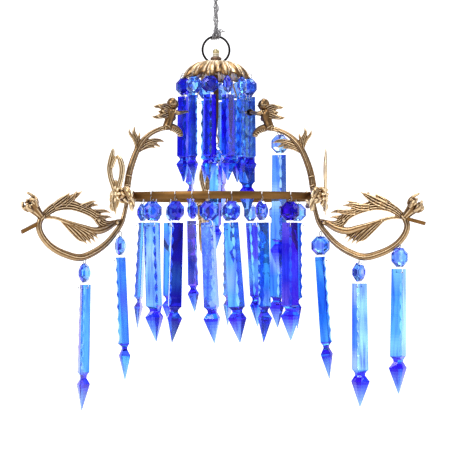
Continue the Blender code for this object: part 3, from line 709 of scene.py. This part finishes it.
ARCH_LOBES = [
    [(115.0, -6.8, 2.0), (110.0, -3.4, 2.2), (106.6, -0.9, 1.4), (104.4, 1.6, 0.1)],
    [(112.0, -6.2, 2.4), (106.0, -3.6, 2.5), (100.6, -0.6, 1.8), (95.4, 2.6, 0.1)],
    [(108.0, -5.8, 1.8), (103.8, -2.6, 1.5), (101.0, 0.6, 0.8), (99.6, 2.8, 0.1)],
    [(101.5, -7.0, 2.2), (95.4, -6.8, 2.2), (89.6, -5.6, 1.4), (84.0, -5.8, 0.1)],
    [(98.5, -7.6, 1.8), (93.2, -5.2, 1.3), (88.8, -3.6, 0.7), (86.4, -3.4, 0.1)],
    [(92.5, -9.6, 2.1), (86.6, -9.8, 1.7), (80.6, -9.2, 1.1), (76.0, -10.4, 0.1)],
    [(87.4, -12.2, 2.2), (82.6, -12.9, 1.5), (78.4, -12.6, 0.8), (75.6, -13.4, 0.1)],
]
FLOWER_BASE = Vector((122.9, 0.0, -12.6))
FLOWER_MOUTH = Vector((129.9, 0.0, -5.2))


def flower(shape, leafy):
    """The end bud: a ribbed cup and curling petals on its rim; its dark mouth is painted shade, a dark ball
    that scroll_arm sets in it.
    """
    axis = FLOWER_MOUTH - FLOWER_BASE
    reach = axis.length
    turn = Matrix.Translation(FLOWER_BASE) @ axis.normalized().to_track_quat("Z", "X").to_matrix().to_4x4()
    cup = Shape()
    turned(cup, [
        (1.6, -2.2), (2.1, -0.6), (2.3, 1.6), (2.9, 4.2), (3.6, 7.0), (4.1, reach), (3.5, reach + 0.5),
        (2.4, reach - 0.6),
    ], sides=56, flute=0.06, flutes=8)
    loop(cup, (0, 0, -0.6), 2.1, 0.45, (0, 0, 1))
    heights = (5.4, 1.8, 3.0, 1.6, 2.8, 1.9) if leafy else (5.4, 1.8, 3.0, 1.6, 2.8)
    for tall, angle in zip(heights, turns(len(heights))):
        petal = Shape()
        wire(petal, [
            (3.3, 0, reach - 3.4, 1.1), (4.0, 0, reach - 1.0, 1.5), (4.3, 0, reach + 0.6, 1.3),
            (3.9, 0, reach + tall * 0.6, 0.95), (3.2, 0, reach + tall, 0.75),
        ], sides=12)
        ball(petal, (3.1, 0, reach + tall), 0.9, 14, 10)
        curl = [(3.8, 0.8, reach - 1.4, 0.7), (4.5, 1.5, reach + 0.4, 0.55), (4.2, 1.9, reach + 1.6, 0.3)]
        pair(petal, curl)
        cup.moved(petal, Matrix.Rotation(angle + (0.3 if leafy else 0.0), 4, "Z"))
    if leafy:
        loop(cup, (-3.0, 2.0, reach + 1.6), 1.2, 0.4, (0.4, 0.8, 0.2))
    shape.moved(cup, turn)


def scroll_arm(side):
    """The C-scroll with beads along it, the S-stem, the tail's fingers, the arched leaf and the flower."""
    arm = Shape()
    sweep(arm, [(r, h, radius * 1.12) for r, h, radius in C_SCROLL], sides=24, flat=0.85, groove=0.26)
    pair(arm, [(r, 0.95 * radius, h) for r, h, radius in C_SCROLL[1:]], radius=0.28)
    sweep(arm, S_STEM, flat=0.7, groove=0.28)
    for number, finger in enumerate(FAN):
        blade(arm, finger, thick=2.0, ridges=2, across=9, offset=0.25 * (number - 2))
    blade(arm, ARCH, thick=2.4, ridges=4, across=17, steps=8)
    for number, lobe in enumerate(ARCH_LOBES):
        way = (-1) ** number
        blade(arm, lobe, thick=1.9, cup=0.12 * way, offset=0.35 * way)
    for r, reach, h in ((72.6, 1.0, -16.0), (85.2, 1.1, -14.6)):
        for half in (-1, 1):
            ball(arm, (r, half * reach, h), (1.25, 0.7, 1.25), 16, 12)
            ball(arm, (r, half * reach * 1.5, h), 0.5, 12, 8)
    flower(arm, side != "left")
    cast(f"scroll_arm_{side}_look", arm, side, replaces=[f"scroll_arm_{side}"], voxel=0.27)
    rod = Shape()
    drop = 2.4 if side == "left" else 0.0
    end = ((123.0, -1.0, -14.5), (123.0, 1.0, -14.5), (123.5, 1.0, -12.4), (123.5, -1.0, -12.4))
    low = [(r, y, h - drop) for r, y, h in end]
    rod.rows([low, [(r + 12.0, y, h - 3.2 - drop) for r, y, h in low]])
    cast(f"stub_rod_{side}", rod, side, BAND, sharp=30)
    # Painted shade: a dark ball fills the flower's mouth, where the cup's hollow would be in shade.
    mouth = Shape()
    ball(
        mouth, FLOWER_MOUTH - Vector((1.3, 0, 1.3)), 2.4, 20, 12,
        shift=lambda way: 0.12 * sin(9 * way[0]) * cos(8 * way[1]),
    )
    cast(f"flower_mouth_shade_{side}", mouth, side, DARK)


# The brackets and their putti: a calm, generic, rounded child's face.
BRACKET_STEM = [
    (65.3, 2.4, 1.5), (65.2, 4.9, 2.1), (64.9, 7.5, 2.2), (63.2, 15.6, 2.15), (59.7, 24.7, 2.05),
    (55.4, 32.2, 1.85), (49.1, 37.8, 1.55), (42.5, 40.9, 1.5), (36.5, 42.6, 1.6),
]
BRACKET_LEAVES = [
    [
        (61.5, 20.0, 1.2), (58.6, 26.6, 1.6), (54.6, 30.6, 1.9), (48.4, 33.4, 1.7), (42.4, 34.2, 1.1),
        (38.4, 33.0, 0.1),
    ],
    [(58.0, 27.0, 1.2), (53.2, 29.4, 1.4), (48.4, 30.4, 1.1), (44.4, 29.4, 0.1)],
    [(53.4, 31.4, 1.1), (47.0, 32.2, 1.2), (43.4, 31.0, 0.8), (41.4, 30.2, 0.1)],
    [(60.6, 22.0, 1.2), (58.4, 29.0, 1.4), (58.9, 35.0, 1.5), (60.4, 38.8, 1.1), (59.6, 42.2, 0.1)],
    [(58.6, 30.0, 1.0), (60.6, 34.4, 1.1), (63.4, 37.6, 0.9), (64.0, 40.6, 0.1)],
    [(58.2, 30.5, 0.9), (56.8, 35.6, 0.9), (56.0, 39.0, 0.1)],
]
WINGS = [
    [(33.6, 52.8, 1.9), (37.2, 54.6, 2.3), (40.8, 55.4, 1.5), (43.6, 55.0, 0.8), (45.2, 55.8, 0.1)],
    [(33.8, 51.6, 1.5), (37.6, 52.4, 1.7), (40.6, 52.0, 0.9), (42.0, 52.6, 0.1)],
    [(33.8, 50.8, 1.9), (37.0, 50.4, 2.2), (40.6, 49.2, 1.6), (44.0, 48.6, 0.9), (46.0, 49.4, 0.1)],
]
HEAD = (32.2, 0, 56.9)
CURL_ROWS = [(88, 1), (58, 7), (28, 10), (2, 11)]


def head_shift(way):
    """Brow, eye sockets, nose, cheeks, lips and chin on a round head that looks towards the axis."""
    x, y, z = -way[0], abs(way[1]), way[2]
    if x < 0.2:
        return 0.0
    bumps = [
        (0.30, 0.0, -0.10, 0.10, 0.14), (0.12, 0.0, 0.08, 0.08, 0.18), (-0.13, 0.30, 0.12, 0.16, 0.12),
        (0.06, 0.30, 0.32, 0.26, 0.09), (0.10, 0.40, -0.22, 0.20, 0.20), (0.10, 0.0, -0.40, 0.16, 0.06),
        (-0.05, 0.0, -0.47, 0.14, 0.03), (0.09, 0.0, -0.53, 0.13, 0.05), (0.10, 0.0, -0.78, 0.2, 0.14),
    ]
    return sum(
        size * exp(-(((y - across) / width) ** 2) - ((z - up) / tall) ** 2)
        for size, across, up, width, tall in bumps
    )


def putto_head(shape):
    ball(shape, HEAD, (3.2, 3.05, 3.4), 56, 40, shift=head_shift)
    for degrees, curls in CURL_ROWS:
        up = radians(degrees)
        for number in range(curls):
            spread = pi * ((number + 0.5) / curls - 0.5)
            way = Vector((cos(spread) * cos(up), sin(spread) * cos(up), sin(up)))
            spot = Vector(HEAD) + Vector((0.35 + way.x * 3.25, way.y * 3.15, 0.25 + way.z * 3.4))
            loop(shape, spot, 0.66, 0.48, way, around=10, sides=7)
            ball(shape, spot, 0.5, 8, 6)
    for half in (-1, 1):
        loop(shape, (HEAD[0] + 0.3, half * 3.0, HEAD[2] - 0.3), 0.46, 0.21, (0, 1, 0.2), around=14)
        ball(shape, (HEAD[0] - 2.74, half * 1.02, HEAD[2] + 0.36), 0.34, 12, 8)


def putto(shape, side):
    """Head, neck, trunk, arms held out together, belly, wings and the curled tail that it ends in."""
    putto_head(shape)
    wire(shape, [(32.6, 0, 54.6, 1.2), (33.1, 0, 53.6, 1.2), (33.4, 0, 52.4, 1.9)], sides=16)
    wire(shape, [
        (34.0, 0, 53.8, 2.2), (34.2, 0, 51.8, 3.4), (34.4, 0, 49.4, 3.4), (35.2, 0, 46.8, 2.8),
        (36.0, 0, 44.6, 2.8), (37.0, 0, 42.6, 2.6),
    ], sides=28)
    for half in (-1, 1):
        ball(shape, (32.0, half * 1.2, 51.5), (1.5, 1.5, 1.3), 18, 12)
        ball(shape, (33.4, half * 2.4, 52.3), (1.35, 1.25, 1.3), 16, 12)
        ball(shape, (21.2, half * 0.6, 52.8), (1.0, 0.6, 0.7), 14, 10)
    pair(shape, [
        (33.3, 2.9, 52.3, 1.5), (30.4, 3.2, 51.4, 1.4), (27.4, 2.4, 51.9, 1.15), (24.4, 1.4, 52.5, 0.9),
        (21.6, 0.7, 52.8, 0.7),
    ], sides=14)
    for finger in (-1, 0, 1):
        ends = [(21.0, 0.6, 52.7 + 0.35 * finger, 0.24), (20.0, 0.35, 52.6 + 0.42 * finger, 0.2)]
        pair(shape, ends, sides=7, smooth=False)
    ball(shape, (32.3, 0, 48.4), (1.8, 2.1, 1.9), 18, 14)
    ball(shape, (30.6, 0, 48.0), 0.28, 10, 8)
    for half in (-1, 1):
        wing = Shape()
        for feather in WINGS:
            blade(wing, feather, thick=1.7)
        splay = Matrix.Translation((33.6, half * 0.8, 0)) @ spin(half * 11)
        shape.moved(wing, splay @ Matrix.Translation((-33.6, 0, 0)))
    wire(shape, [
        (39.0, 0, 42.0, 1.7), (35.0, 0, 42.9, 2.1), (32.0, 0, 42.7, 2.1), (29.0, 0, 41.4, 1.9),
        (27.0, 0, 39.2, 1.7), (26.7, 0, 37.2, 1.5),
    ], sides=20)
    for number in range(6):
        share = number / 5
        centre = (33.6 - 6.6 * share, 0, 42.2 - 3.9 * share**1.6)
        loop(shape, centre, 1.7 - 0.2 * share, 0.36, (1.0 - 0.7 * share, 0, 0.2 + 0.9 * share), around=20)
    if side != "left":
        loop(shape, (19.4, 0, 52.7), 0.9, 0.24, (0, 1, 0))


def bracket(side):
    """The leafy stem with a putto on its end; the right one has a peg for a pendant and holds a ball."""
    body = Shape()
    sweep(body, BRACKET_STEM, sides=24, flat=0.8, groove=0.34)
    pair(body, [(r + 0.2, 0.62 * radius, h, 0.42) for r, h, radius in BRACKET_STEM[1:-1]])
    for number, leaf in enumerate(BRACKET_LEAVES):
        blade(body, leaf, thick=2.0, offset=0.2 * (-1) ** number)
    for level, radius in ((6.4, 65.0), (12.0, 64.1)):
        loop(body, (radius, 0, level), 1.9, 0.4, (0.15, 0, -1))
    putto(body, side)
    if side == "right":
        r, y, h = PEG_HOOK
        wire(body, [(r, 0, h + 0.6), (r, y + 1.4, h)], 0.72, smooth=False)
        ball(body, (r, y + 1.5, h), 0.95, 14, 10)
    cast(f"bracket_{side}_look", body, side, replaces=[f"cherub_bracket_{side}"], voxel=0.2, rounds=1)
    if side == "right":
        held = Shape()
        ball(held, (23.4, 0, 52.6), 2.25, 24, 16)
        cast("held_ball", held, side, DARK)


# The leaf clamps.
SIDE_CURLS = [(6.6, 1.5), (8.4, 1.25), (9.4, 0.9)]
UPRIGHT_LEAVES = [
    [
        (0.0, 0.5, 1.6), (-2.0, 6.0, 1.9), (-4.0, 11.5, 1.9), (-4.6, 17.0, 2.0), (-3.4, 22.4, 2.0),
        (-2.2, 26.4, 1.4), (-1.9, 28.6, 0.5),
    ],
    [
        (0.4, 0.5, 1.6), (2.2, 6.0, 1.8), (3.9, 11.5, 1.9), (4.4, 16.4, 2.1), (3.2, 20.8, 2.0),
        (1.8, 23.6, 1.1), (1.0, 24.6, 0.2),
    ],
    [(-3.0, 17.0, 1.3), (-1.8, 20.6, 1.6), (-0.2, 22.8, 1.1), (0.8, 23.6, 0.2)],
    [(0.0, 1.0, 1.2), (0.0, 5.0, 1.3), (0.0, 8.5, 0.9), (0.0, 10.5, 0.1)],
]
DROP_LEAVES = [
    [(0.2, 2.0, 1.4), (-0.8, -2.6, 2.0), (-0.4, -7.4, 1.3), (0.2, -12.0, 0.1)],
    [(0.6, 1.0, 1.1), (1.9, -3.0, 1.3), (1.4, -7.4, 0.1)],
]
FRONT_GROWTH = 1.38


def side_curls():
    """Three scrolls, an eye and a tail on each side of a clamp."""
    curls = Shape()
    for row, (reach, size) in enumerate(SIDE_CURLS):
        pair(curls, [
            (0.0, 1.0, 1.9 - row, size * 0.9), (1.2, reach * 0.55, 2.9 - 1.1 * row, size),
            (1.5, reach * 0.9, 1.6 - 1.2 * row, size * 0.9), (0.7, reach, -1.2 - row, size * 0.75),
            (0.3, reach - 1.2, -3.8 - 0.8 * row, size * 0.5),
        ], sides=12)
    for half in (-1, 1):
        loop(curls, (1.4, half * 7.4, 0.2), 1.7, 0.62, (1, 0, 0), around=24)
        ball(curls, (1.6, half * 7.4, 0.2), 0.85, 14, 10)
    tail = [(0.0, 6.6, -1.6, 0.9), (1.0, 8.2, -3.6, 1.2), (1.2, 8.4, -5.4, 1.0), (0.4, 7.8, -6.6, 0.5)]
    pair(curls, tail, sides=12)
    return curls


def clamp(side):
    """The rosette and side scrolls over the joint, its leaves up and down, and the nut under it."""
    body = Shape()
    grow = 1.0 if side == "back" else FRONT_GROWTH
    body.moved(side_curls(), Matrix.Translation((67.4, 0, 0)) @ Matrix.Scale(grow, 4))
    for angle in turns(8):
        y, z = cos(angle), sin(angle)
        wire(body, [
            (70.4, 1.2 * y, 1.2 + 1.2 * z, 0.9), (72.6, 2.9 * y, 1.2 + 2.9 * z, 1.15),
            (73.4, 4.2 * y, 1.2 + 4.0 * z, 0.8), (72.4, 4.9 * y, 1.2 + 4.7 * z, 0.4),
        ], sides=12)
    ball(body, (72.6, 0, 1.2), 1.6, shift=lambda way: 0.06 * sin(12 * way[1]) * sin(12 * way[2]))
    ball(body, (69.6, 0, 1.0), (3, 5, 2.7), 24, 16, shift=lambda way: 0.05 * sin(9 * way[1] + 5 * way[2]))
    wire(body, [(62.0, 0, 3.0, 1.6), (61.6, 0, 0.0, 2.0), (61.9, 0, -3.4, 1.5)], sides=16)
    jaw = [(61.6, 2.2, -2.6, 1.1), (63.6, 3.0, -3.6, 1.0), (67.0, 3.4, -3.4, 1.1), (69.2, 3.0, -1.6, 1.1)]
    pair(body, jaw, sides=12)
    cast(f"clamp_{side}_look", body, side, PALE, [f"leaf_clamp_{side}"], voxel=0.24)
    leaf = Shape()
    for points in UPRIGHT_LEAVES:
        blade(leaf, points, thick=1.5, cup=0.22)
    for points in DROP_LEAVES:
        blade(leaf, points, thick=1.4, cup=-0.2)
    placed = Shape()
    placed.moved(leaf, Matrix.Translation((73.2, 0, 0)) @ spin(115))
    cast(f"clamp_leaves_{side}", placed, side, PALE, voxel=0.24, rounds=1)
    nut = Shape()
    turned(nut, [
        (0.05, -4.0), (1.0, -4.1), (1.0, -4.7), (1.5, -5.3), (1.65, -6.1), (1.3, -7.0), (0.6, -7.5),
        (0.05, -7.5),
    ], 61.8, 32, 0.03, 6)
    piece(f"nut_{side}_look", nut, GREY, "silver_steel", [f"cap_nut_{side}"], ARMS[side])


for side in ARMS:
    scroll_arm(side)
    bracket(side)
    clamp(side)


# Pendants. A tint is the colour of a whole way through the glass: Cycles takes its square root at each of
# the two facets that a straight ray crosses.
# The facet palettes paint light into the cobalt glass: the pale blue, azure and near-white colours are
# painted highlights and reflections, the ink colours painted shade; each kind's sets, backs and bead share
# give how much of each a pendant gets.
ROYAL = [
    (0.035, 0.004, 0.62), (0.016, 0.002, 0.45), (0.06, 0.012, 0.76), (0.03, 0.03, 0.78), (0.02, 0.002, 0.52),
]
AZURE = [(0.02, 0.20, 0.87), (0.07, 0.40, 0.94), (0.02, 0.10, 0.84)]
PALE_BLUE = [(0.34, 0.72, 0.97), (0.54, 0.58, 0.97), (0.17, 0.62, 0.95)]
INK = [(0.012, 0.0015, 0.24), (0.016, 0.003, 0.34)]
PALE_HIGHLIGHT = (0.35, 0.62, 0.98)
TIP_END_TINT = (0.8, 0.9, 1.0)
ROYAL_SHARE = 0.62
SETS = {
    "ink": (INK, INK, ROYAL),
    "deep": (ROYAL, ROYAL, ROYAL, INK, AZURE, PALE_BLUE),
    "mid": (ROYAL, ROYAL, ROYAL, AZURE, AZURE, PALE_BLUE),
    "light": (AZURE, AZURE, PALE_BLUE, PALE_BLUE, ROYAL),
}
BACKS = {
    "ink": (0.02, 0.006, 0.42), "deep": (0.05, 0.05, 0.84), "mid": (0.12, 0.30, 0.95),
    "light": (0.30, 0.62, 0.98),
}
BEAD_HIGHLIGHT_SHARE = {"ink": 0.0, "deep": 0.05, "mid": 0.16, "light": 0.32}
BEAD_LEVELS = [(-1.0, 0.40), (-0.72, 0.72), (-0.1, 1.0), (0.1, 1.0), (0.72, 0.72), (1.0, 0.40)]
RIM_ROW = 2 * 8
NECK = [
    (0.712, 0.80, 0.6), (0.727, 0.64, 1.1), (0.745, 0.60, 1.2), (0.758, 0.74, 1.3), (POINT_START, 1.12, 1.5),
]
TIP_BANDS, TIP_SIZE = 8, 0.045


def facet_tint(kind):
    return chance.choice(chance.choice(SETS[kind]))


def dark_tint():
    return chance.choice(ROYAL if chance.random() < ROYAL_SHARE else AZURE)


def blended(first, second, share):
    return tuple(a + (b - a) * share for a, b in zip(first, second))


def bead_tint(kind):
    return blended(facet_tint(kind), PALE_HIGHLIGHT, BEAD_HIGHLIGHT_SHARE[kind])


def bead(shape, radius, centre, yaw, kind):
    """An octagon bead: a flat table each side, two rows of bevels round it and a thin rim; its facet tints
    paint highlights and shade, the rim always a royal blue.
    """
    place = Matrix.Translation(centre) @ spin(yaw) @ spin(90, "X")
    half = BEAD_THICKNESS * radius / BEAD_RADIUS / 2
    points = []
    for level, share in BEAD_LEVELS:
        for corner in range(8):
            angle = radians(45 * corner + 22.5)
            out = radius * share
            points.append(place @ Vector((out * cos(angle), out * sin(angle), level * half)))
    faces = [tuple(range(8))[::-1], tuple(range(40, 48))]
    tints = [bead_tint(kind) for _ in range(2)]
    for low in range(0, 40, 8):
        for corner in range(8):
            after = (corner + 1) % 8
            faces.append((low + corner, low + after, low + 8 + after, low + 8 + corner))
            tints.append(chance.choice(ROYAL) if low == RIM_ROW else bead_tint(kind))
    shape.add(points, faces, tints)


def prism_rows(length, width, depth):
    """Six-sided sections down a spear prism, with the share of its length that each is at."""
    back, front = -depth / 3, depth * 2 / 3
    body_end = length * NECK_START
    notches = round(body_end / NOTCH_PITCH)

    def section(share, ridge, rise=0.0):
        half, low = width / 2 * share, back * share
        level = low + (front * share - low) * (1 - ridge / max(half, 0.01)) + rise
        rim = low + 0.5 * share
        return [(-half, low), (half, low), (half, rim), (ridge, level), (-ridge, level), (-half, rim)]

    steps = notches * 4
    rows = []
    for step in range(steps + 1):
        notch = 0.12 + 0.85 * abs(sin(pi * step / 4))
        rows.append((body_end * step / steps / length, section(0.9 + 0.1 * step / steps, notch)))
    for down, share, ridge in NECK:
        rows.append((down, section(share, ridge * width / 10, 0.35 if share > 1 else 0.0)))
    widest = rows[-1][1]
    for step in range(1, TIP_BANDS + 1):
        shrink = 1 - (1 - TIP_SIZE) * step / TIP_BANDS
        down = POINT_START + (1 - POINT_START) * step / TIP_BANDS
        rows.append((down, [(x * shrink, y * shrink) for x, y in widest]))
    return rows


def prism(shape, size, top, yaw, lean_axis, lean, kind):
    """A three-sided spear prism: flat back, notched ridge, crossed facets at the neck, a six-sided point;
    its facet tints paint highlights, reflections and shade, lighter in soft waves down the body and paler
    towards the point.
    """
    turn = Matrix.Translation(top) @ spin(lean, lean_axis) @ spin(yaw)
    is_pale = kind in ("mid", "light")
    bands = [facet_tint(kind) for _ in range(6)]
    bands[0] = BACKS[kind]
    bands[2 + 2 * chance.randrange(2)] = chance.choice(AZURE if is_pale else ROYAL)
    bands[3] = chance.choice(PALE_BLUE if is_pale else AZURE)
    others = [facet_tint("light") for _ in range(6)]
    phases = [chance.uniform(0, 6.3) for _ in range(6)]
    tip_tints = [dark_tint() for _ in range(6)]
    rows = prism_rows(*size)
    points = [turn @ Vector((x, -y, -down * size[0])) for down, row in rows for x, y in row]
    faces, tints = [], []
    for r, (down, _) in enumerate(rows[:-1]):
        for c in range(6):
            d = (c + 1) % 6
            a, b, e, f = r * 6 + c, r * 6 + d, (r + 1) * 6 + d, (r + 1) * 6 + c
            parts = [(a, b, e, f)]
            if down < NECK_START:
                wave = max(0.0, sin(3.4 * down * pi + phases[c])) ** 1.5
                tint = blended(bands[c], others[c], 0.55 * wave)
            elif down < POINT_START:
                tint = dark_tint()
                parts = [(a, b, f), (b, e, f)] if c % 2 else [(a, b, e), (a, e, f)]
            else:
                tint = blended(tip_tints[c], PALE_HIGHLIGHT, (down - POINT_START) * 4.2)
            faces.extend(parts)
            tints.extend([tint] * len(parts))
    last = len(points) - 6
    faces.extend([tuple(range(6))[::-1], tuple(range(last, last + 6))])
    tints.extend([bands[0], TIP_END_TINT])
    shape.add(points, faces, tints)


def pendant(name, centre, azimuth, size, bead_yaw, prism_yaw, lean=0.0, kind="light", radial=True):
    """Ring, bead, pin and prism at the frame's place; the glass and the wire are two pieces on one body."""
    bead_radius = SMALL_BEAD_RADIUS if size is SHORT_PRISM else BEAD_RADIUS
    heart = Vector((0, 0, -(JUMP_RADIUS + bead_radius * BEAD_HANG)))
    top = heart - Vector((0, 0, bead_radius + PIN_GAP))
    cut = Shape()
    bead(cut, bead_radius, heart, bead_yaw, kind)
    prism(cut, size, top, prism_yaw, "X" if radial else "Y", lean, kind)
    piece(f"{name}_glass", cut, GLASS, "cobalt_glass", [name], azimuth, centre, name, sharp=2.0)
    links = Shape()
    loop(links, (0, 0, 0), JUMP_RADIUS, JUMP_WIRE, (0, 1, 0) if radial else (1, 0, 0))
    turn = Matrix.Rotation(radians(prism_yaw), 3, "Z")
    low, hole = heart - Vector((0, 0, bead_radius - 1.2)), top - Vector((0, 0, 2.0))

    def off(start, share, rise):
        """A point in front of or behind the prism, by a share of its depth."""
        return start + turn @ Vector((0, size[2] * share, rise))

    wire(links, [low, off(low, -0.62, -1.2), off(hole, -0.74, 0.6), off(hole, -0.72, -0.1)], PIN_WIRE)
    wire(links, [low, off(low, 0.5, -1.2), off(hole, 0.45, 0.5)], PIN_WIRE)
    ends = [off(hole, -0.74, -0.1), off(hole, 0.46, 0.0)]
    wire(links, ends, 0.2, smooth=False)
    for end in ends:
        ball(links, end, 0.42, 10, 8)
    piece(f"{name}_wire", links, SILVER, "silver_steel", (), azimuth, centre, name)


def on_circle(radius, azimuth, level):
    return (radius * cos(radians(azimuth)), radius * sin(radians(azimuth)), level)


for tier, radius, level, long_prism, pendants in (
    ("crown", CROWN_HOLE_RADIUS, CROWN_HOOK, PRISM, CROWN_PENDANTS),
    ("band", BAND_RADIUS, BAND_HOOK, BAND_PRISM, BAND_PENDANTS),
):
    for number, (azimuth, is_long, bead_yaw, prism_yaw, lean, kind) in enumerate(pendants, 1):
        pendant(
            f"{tier}_pendant_{number:02d}", on_circle(radius, azimuth, level), azimuth,
            long_prism if is_long else SHORT_PRISM, bead_yaw + 90, prism_yaw + 90, lean, kind,
        )
for side, hooks in ARM_PENDANTS.items():
    for number, (r, h, bead_yaw, prism_yaw, lean) in enumerate(hooks, 1):
        pendant(
            f"arm_pendant_{side}_{number}", on_circle(r, ARMS[side], h), ARMS[side], PRISM,
            bead_yaw, prism_yaw, -lean, radial=False,
        )
pendant("bracket_pendant", spin(ARMS["right"]) @ Vector(PEG_HOOK), ARMS["right"], PRISM, 0, 180)
pendant("centre_pendant", (0, 0, STEM_HOOK), 0.0, SHORT_PRISM, 55, 20, kind="mid", radial=False)


# Stage, light and camera, in metres.
FLOOR_LEVEL = -0.46
FLOOR_PROFILE = [(-3.0, 0.0), (0.9, 0.0), (1.15, 0.03), (1.33, 0.14), (1.42, 0.32), (1.45, 0.6), (1.45, 2.6)]
FLOOR_HALF = 4.0
MIDDLE = (0.0, 0.0, -0.14)
CAMERA_AZIMUTH = radians(-95.0)
CAMERA_DISTANCE = 0.819
CAMERA_LEVEL = -0.1587


def studio():
    """A white floor that curves up into a wall, under a pale blue sky."""
    surface = Shape()
    surface.rows([
        [(x, y, z + FLOOR_LEVEL) for y, z in FLOOR_PROFILE] for x in (-FLOOR_HALF, FLOOR_HALF)
    ], closed=False)
    mesh = bpy.data.meshes.new("floor")
    mesh.from_pydata(surface.points, [], surface.faces)
    material, _, shader = node_material("floor_look")
    set_inputs(shader, {
        "Base Color": (0.5, 0.5, 0.5, 1.0), "Roughness": 0.7, "Emission Color": (1.0, 1.0, 1.0, 1.0),
        "Emission Strength": 0.98,
    })
    mesh.materials.append(material)
    mesh.shade_smooth()
    linked("floor", mesh)
    world = bpy.data.worlds.new("studio")
    bpy.context.scene.world = world
    world.use_nodes = True
    set_inputs(world.node_tree.nodes["Background"], {"Color": (0.76, 0.8, 1.0, 1.0), "Strength": 0.46})
    bpy.context.scene.view_settings.view_transform = "Standard"


def aimed(name, data, place, way):
    """A light or camera at a place, turned to look along a direction."""
    thing = linked(name, data)
    thing.location = place
    thing.rotation_mode = "QUATERNION"
    thing.rotation_quaternion = Vector(way).to_track_quat("-Z", "Y")
    return thing


def soft_light(name, place, width, depth, power):
    light = bpy.data.lights.new(name, "AREA")
    light.shape, light.size, light.size_y = "RECTANGLE", width, depth
    light.energy = power
    aimed(name, light, place, Vector(MIDDLE) - Vector(place))


def camera():
    data = bpy.data.cameras.new("camera")
    data.lens, data.sensor_width, data.shift_x = 104.0, 36.0, 0.02
    data.clip_start, data.clip_end = 0.05, 20.0
    x, y = cos(CAMERA_AZIMUTH), sin(CAMERA_AZIMUTH)
    place = (CAMERA_DISTANCE * x, CAMERA_DISTANCE * y, CAMERA_LEVEL)
    bpy.context.scene.camera = aimed("camera", data, place, (-x, -y, 0))


studio()
soft_light("key", (-0.75, -0.8, 0.55), 0.35, 0.6, 10.0)
soft_light("fill", (0.95, -0.55, 0.1), 0.3, 0.7, 2.4)
soft_light("rim", (0.5, 0.8, 0.5), 0.5, 0.5, 4.0)
soft_light("top", (0.0, -0.1, 0.9), 0.5, 0.5, 5.0)
camera()
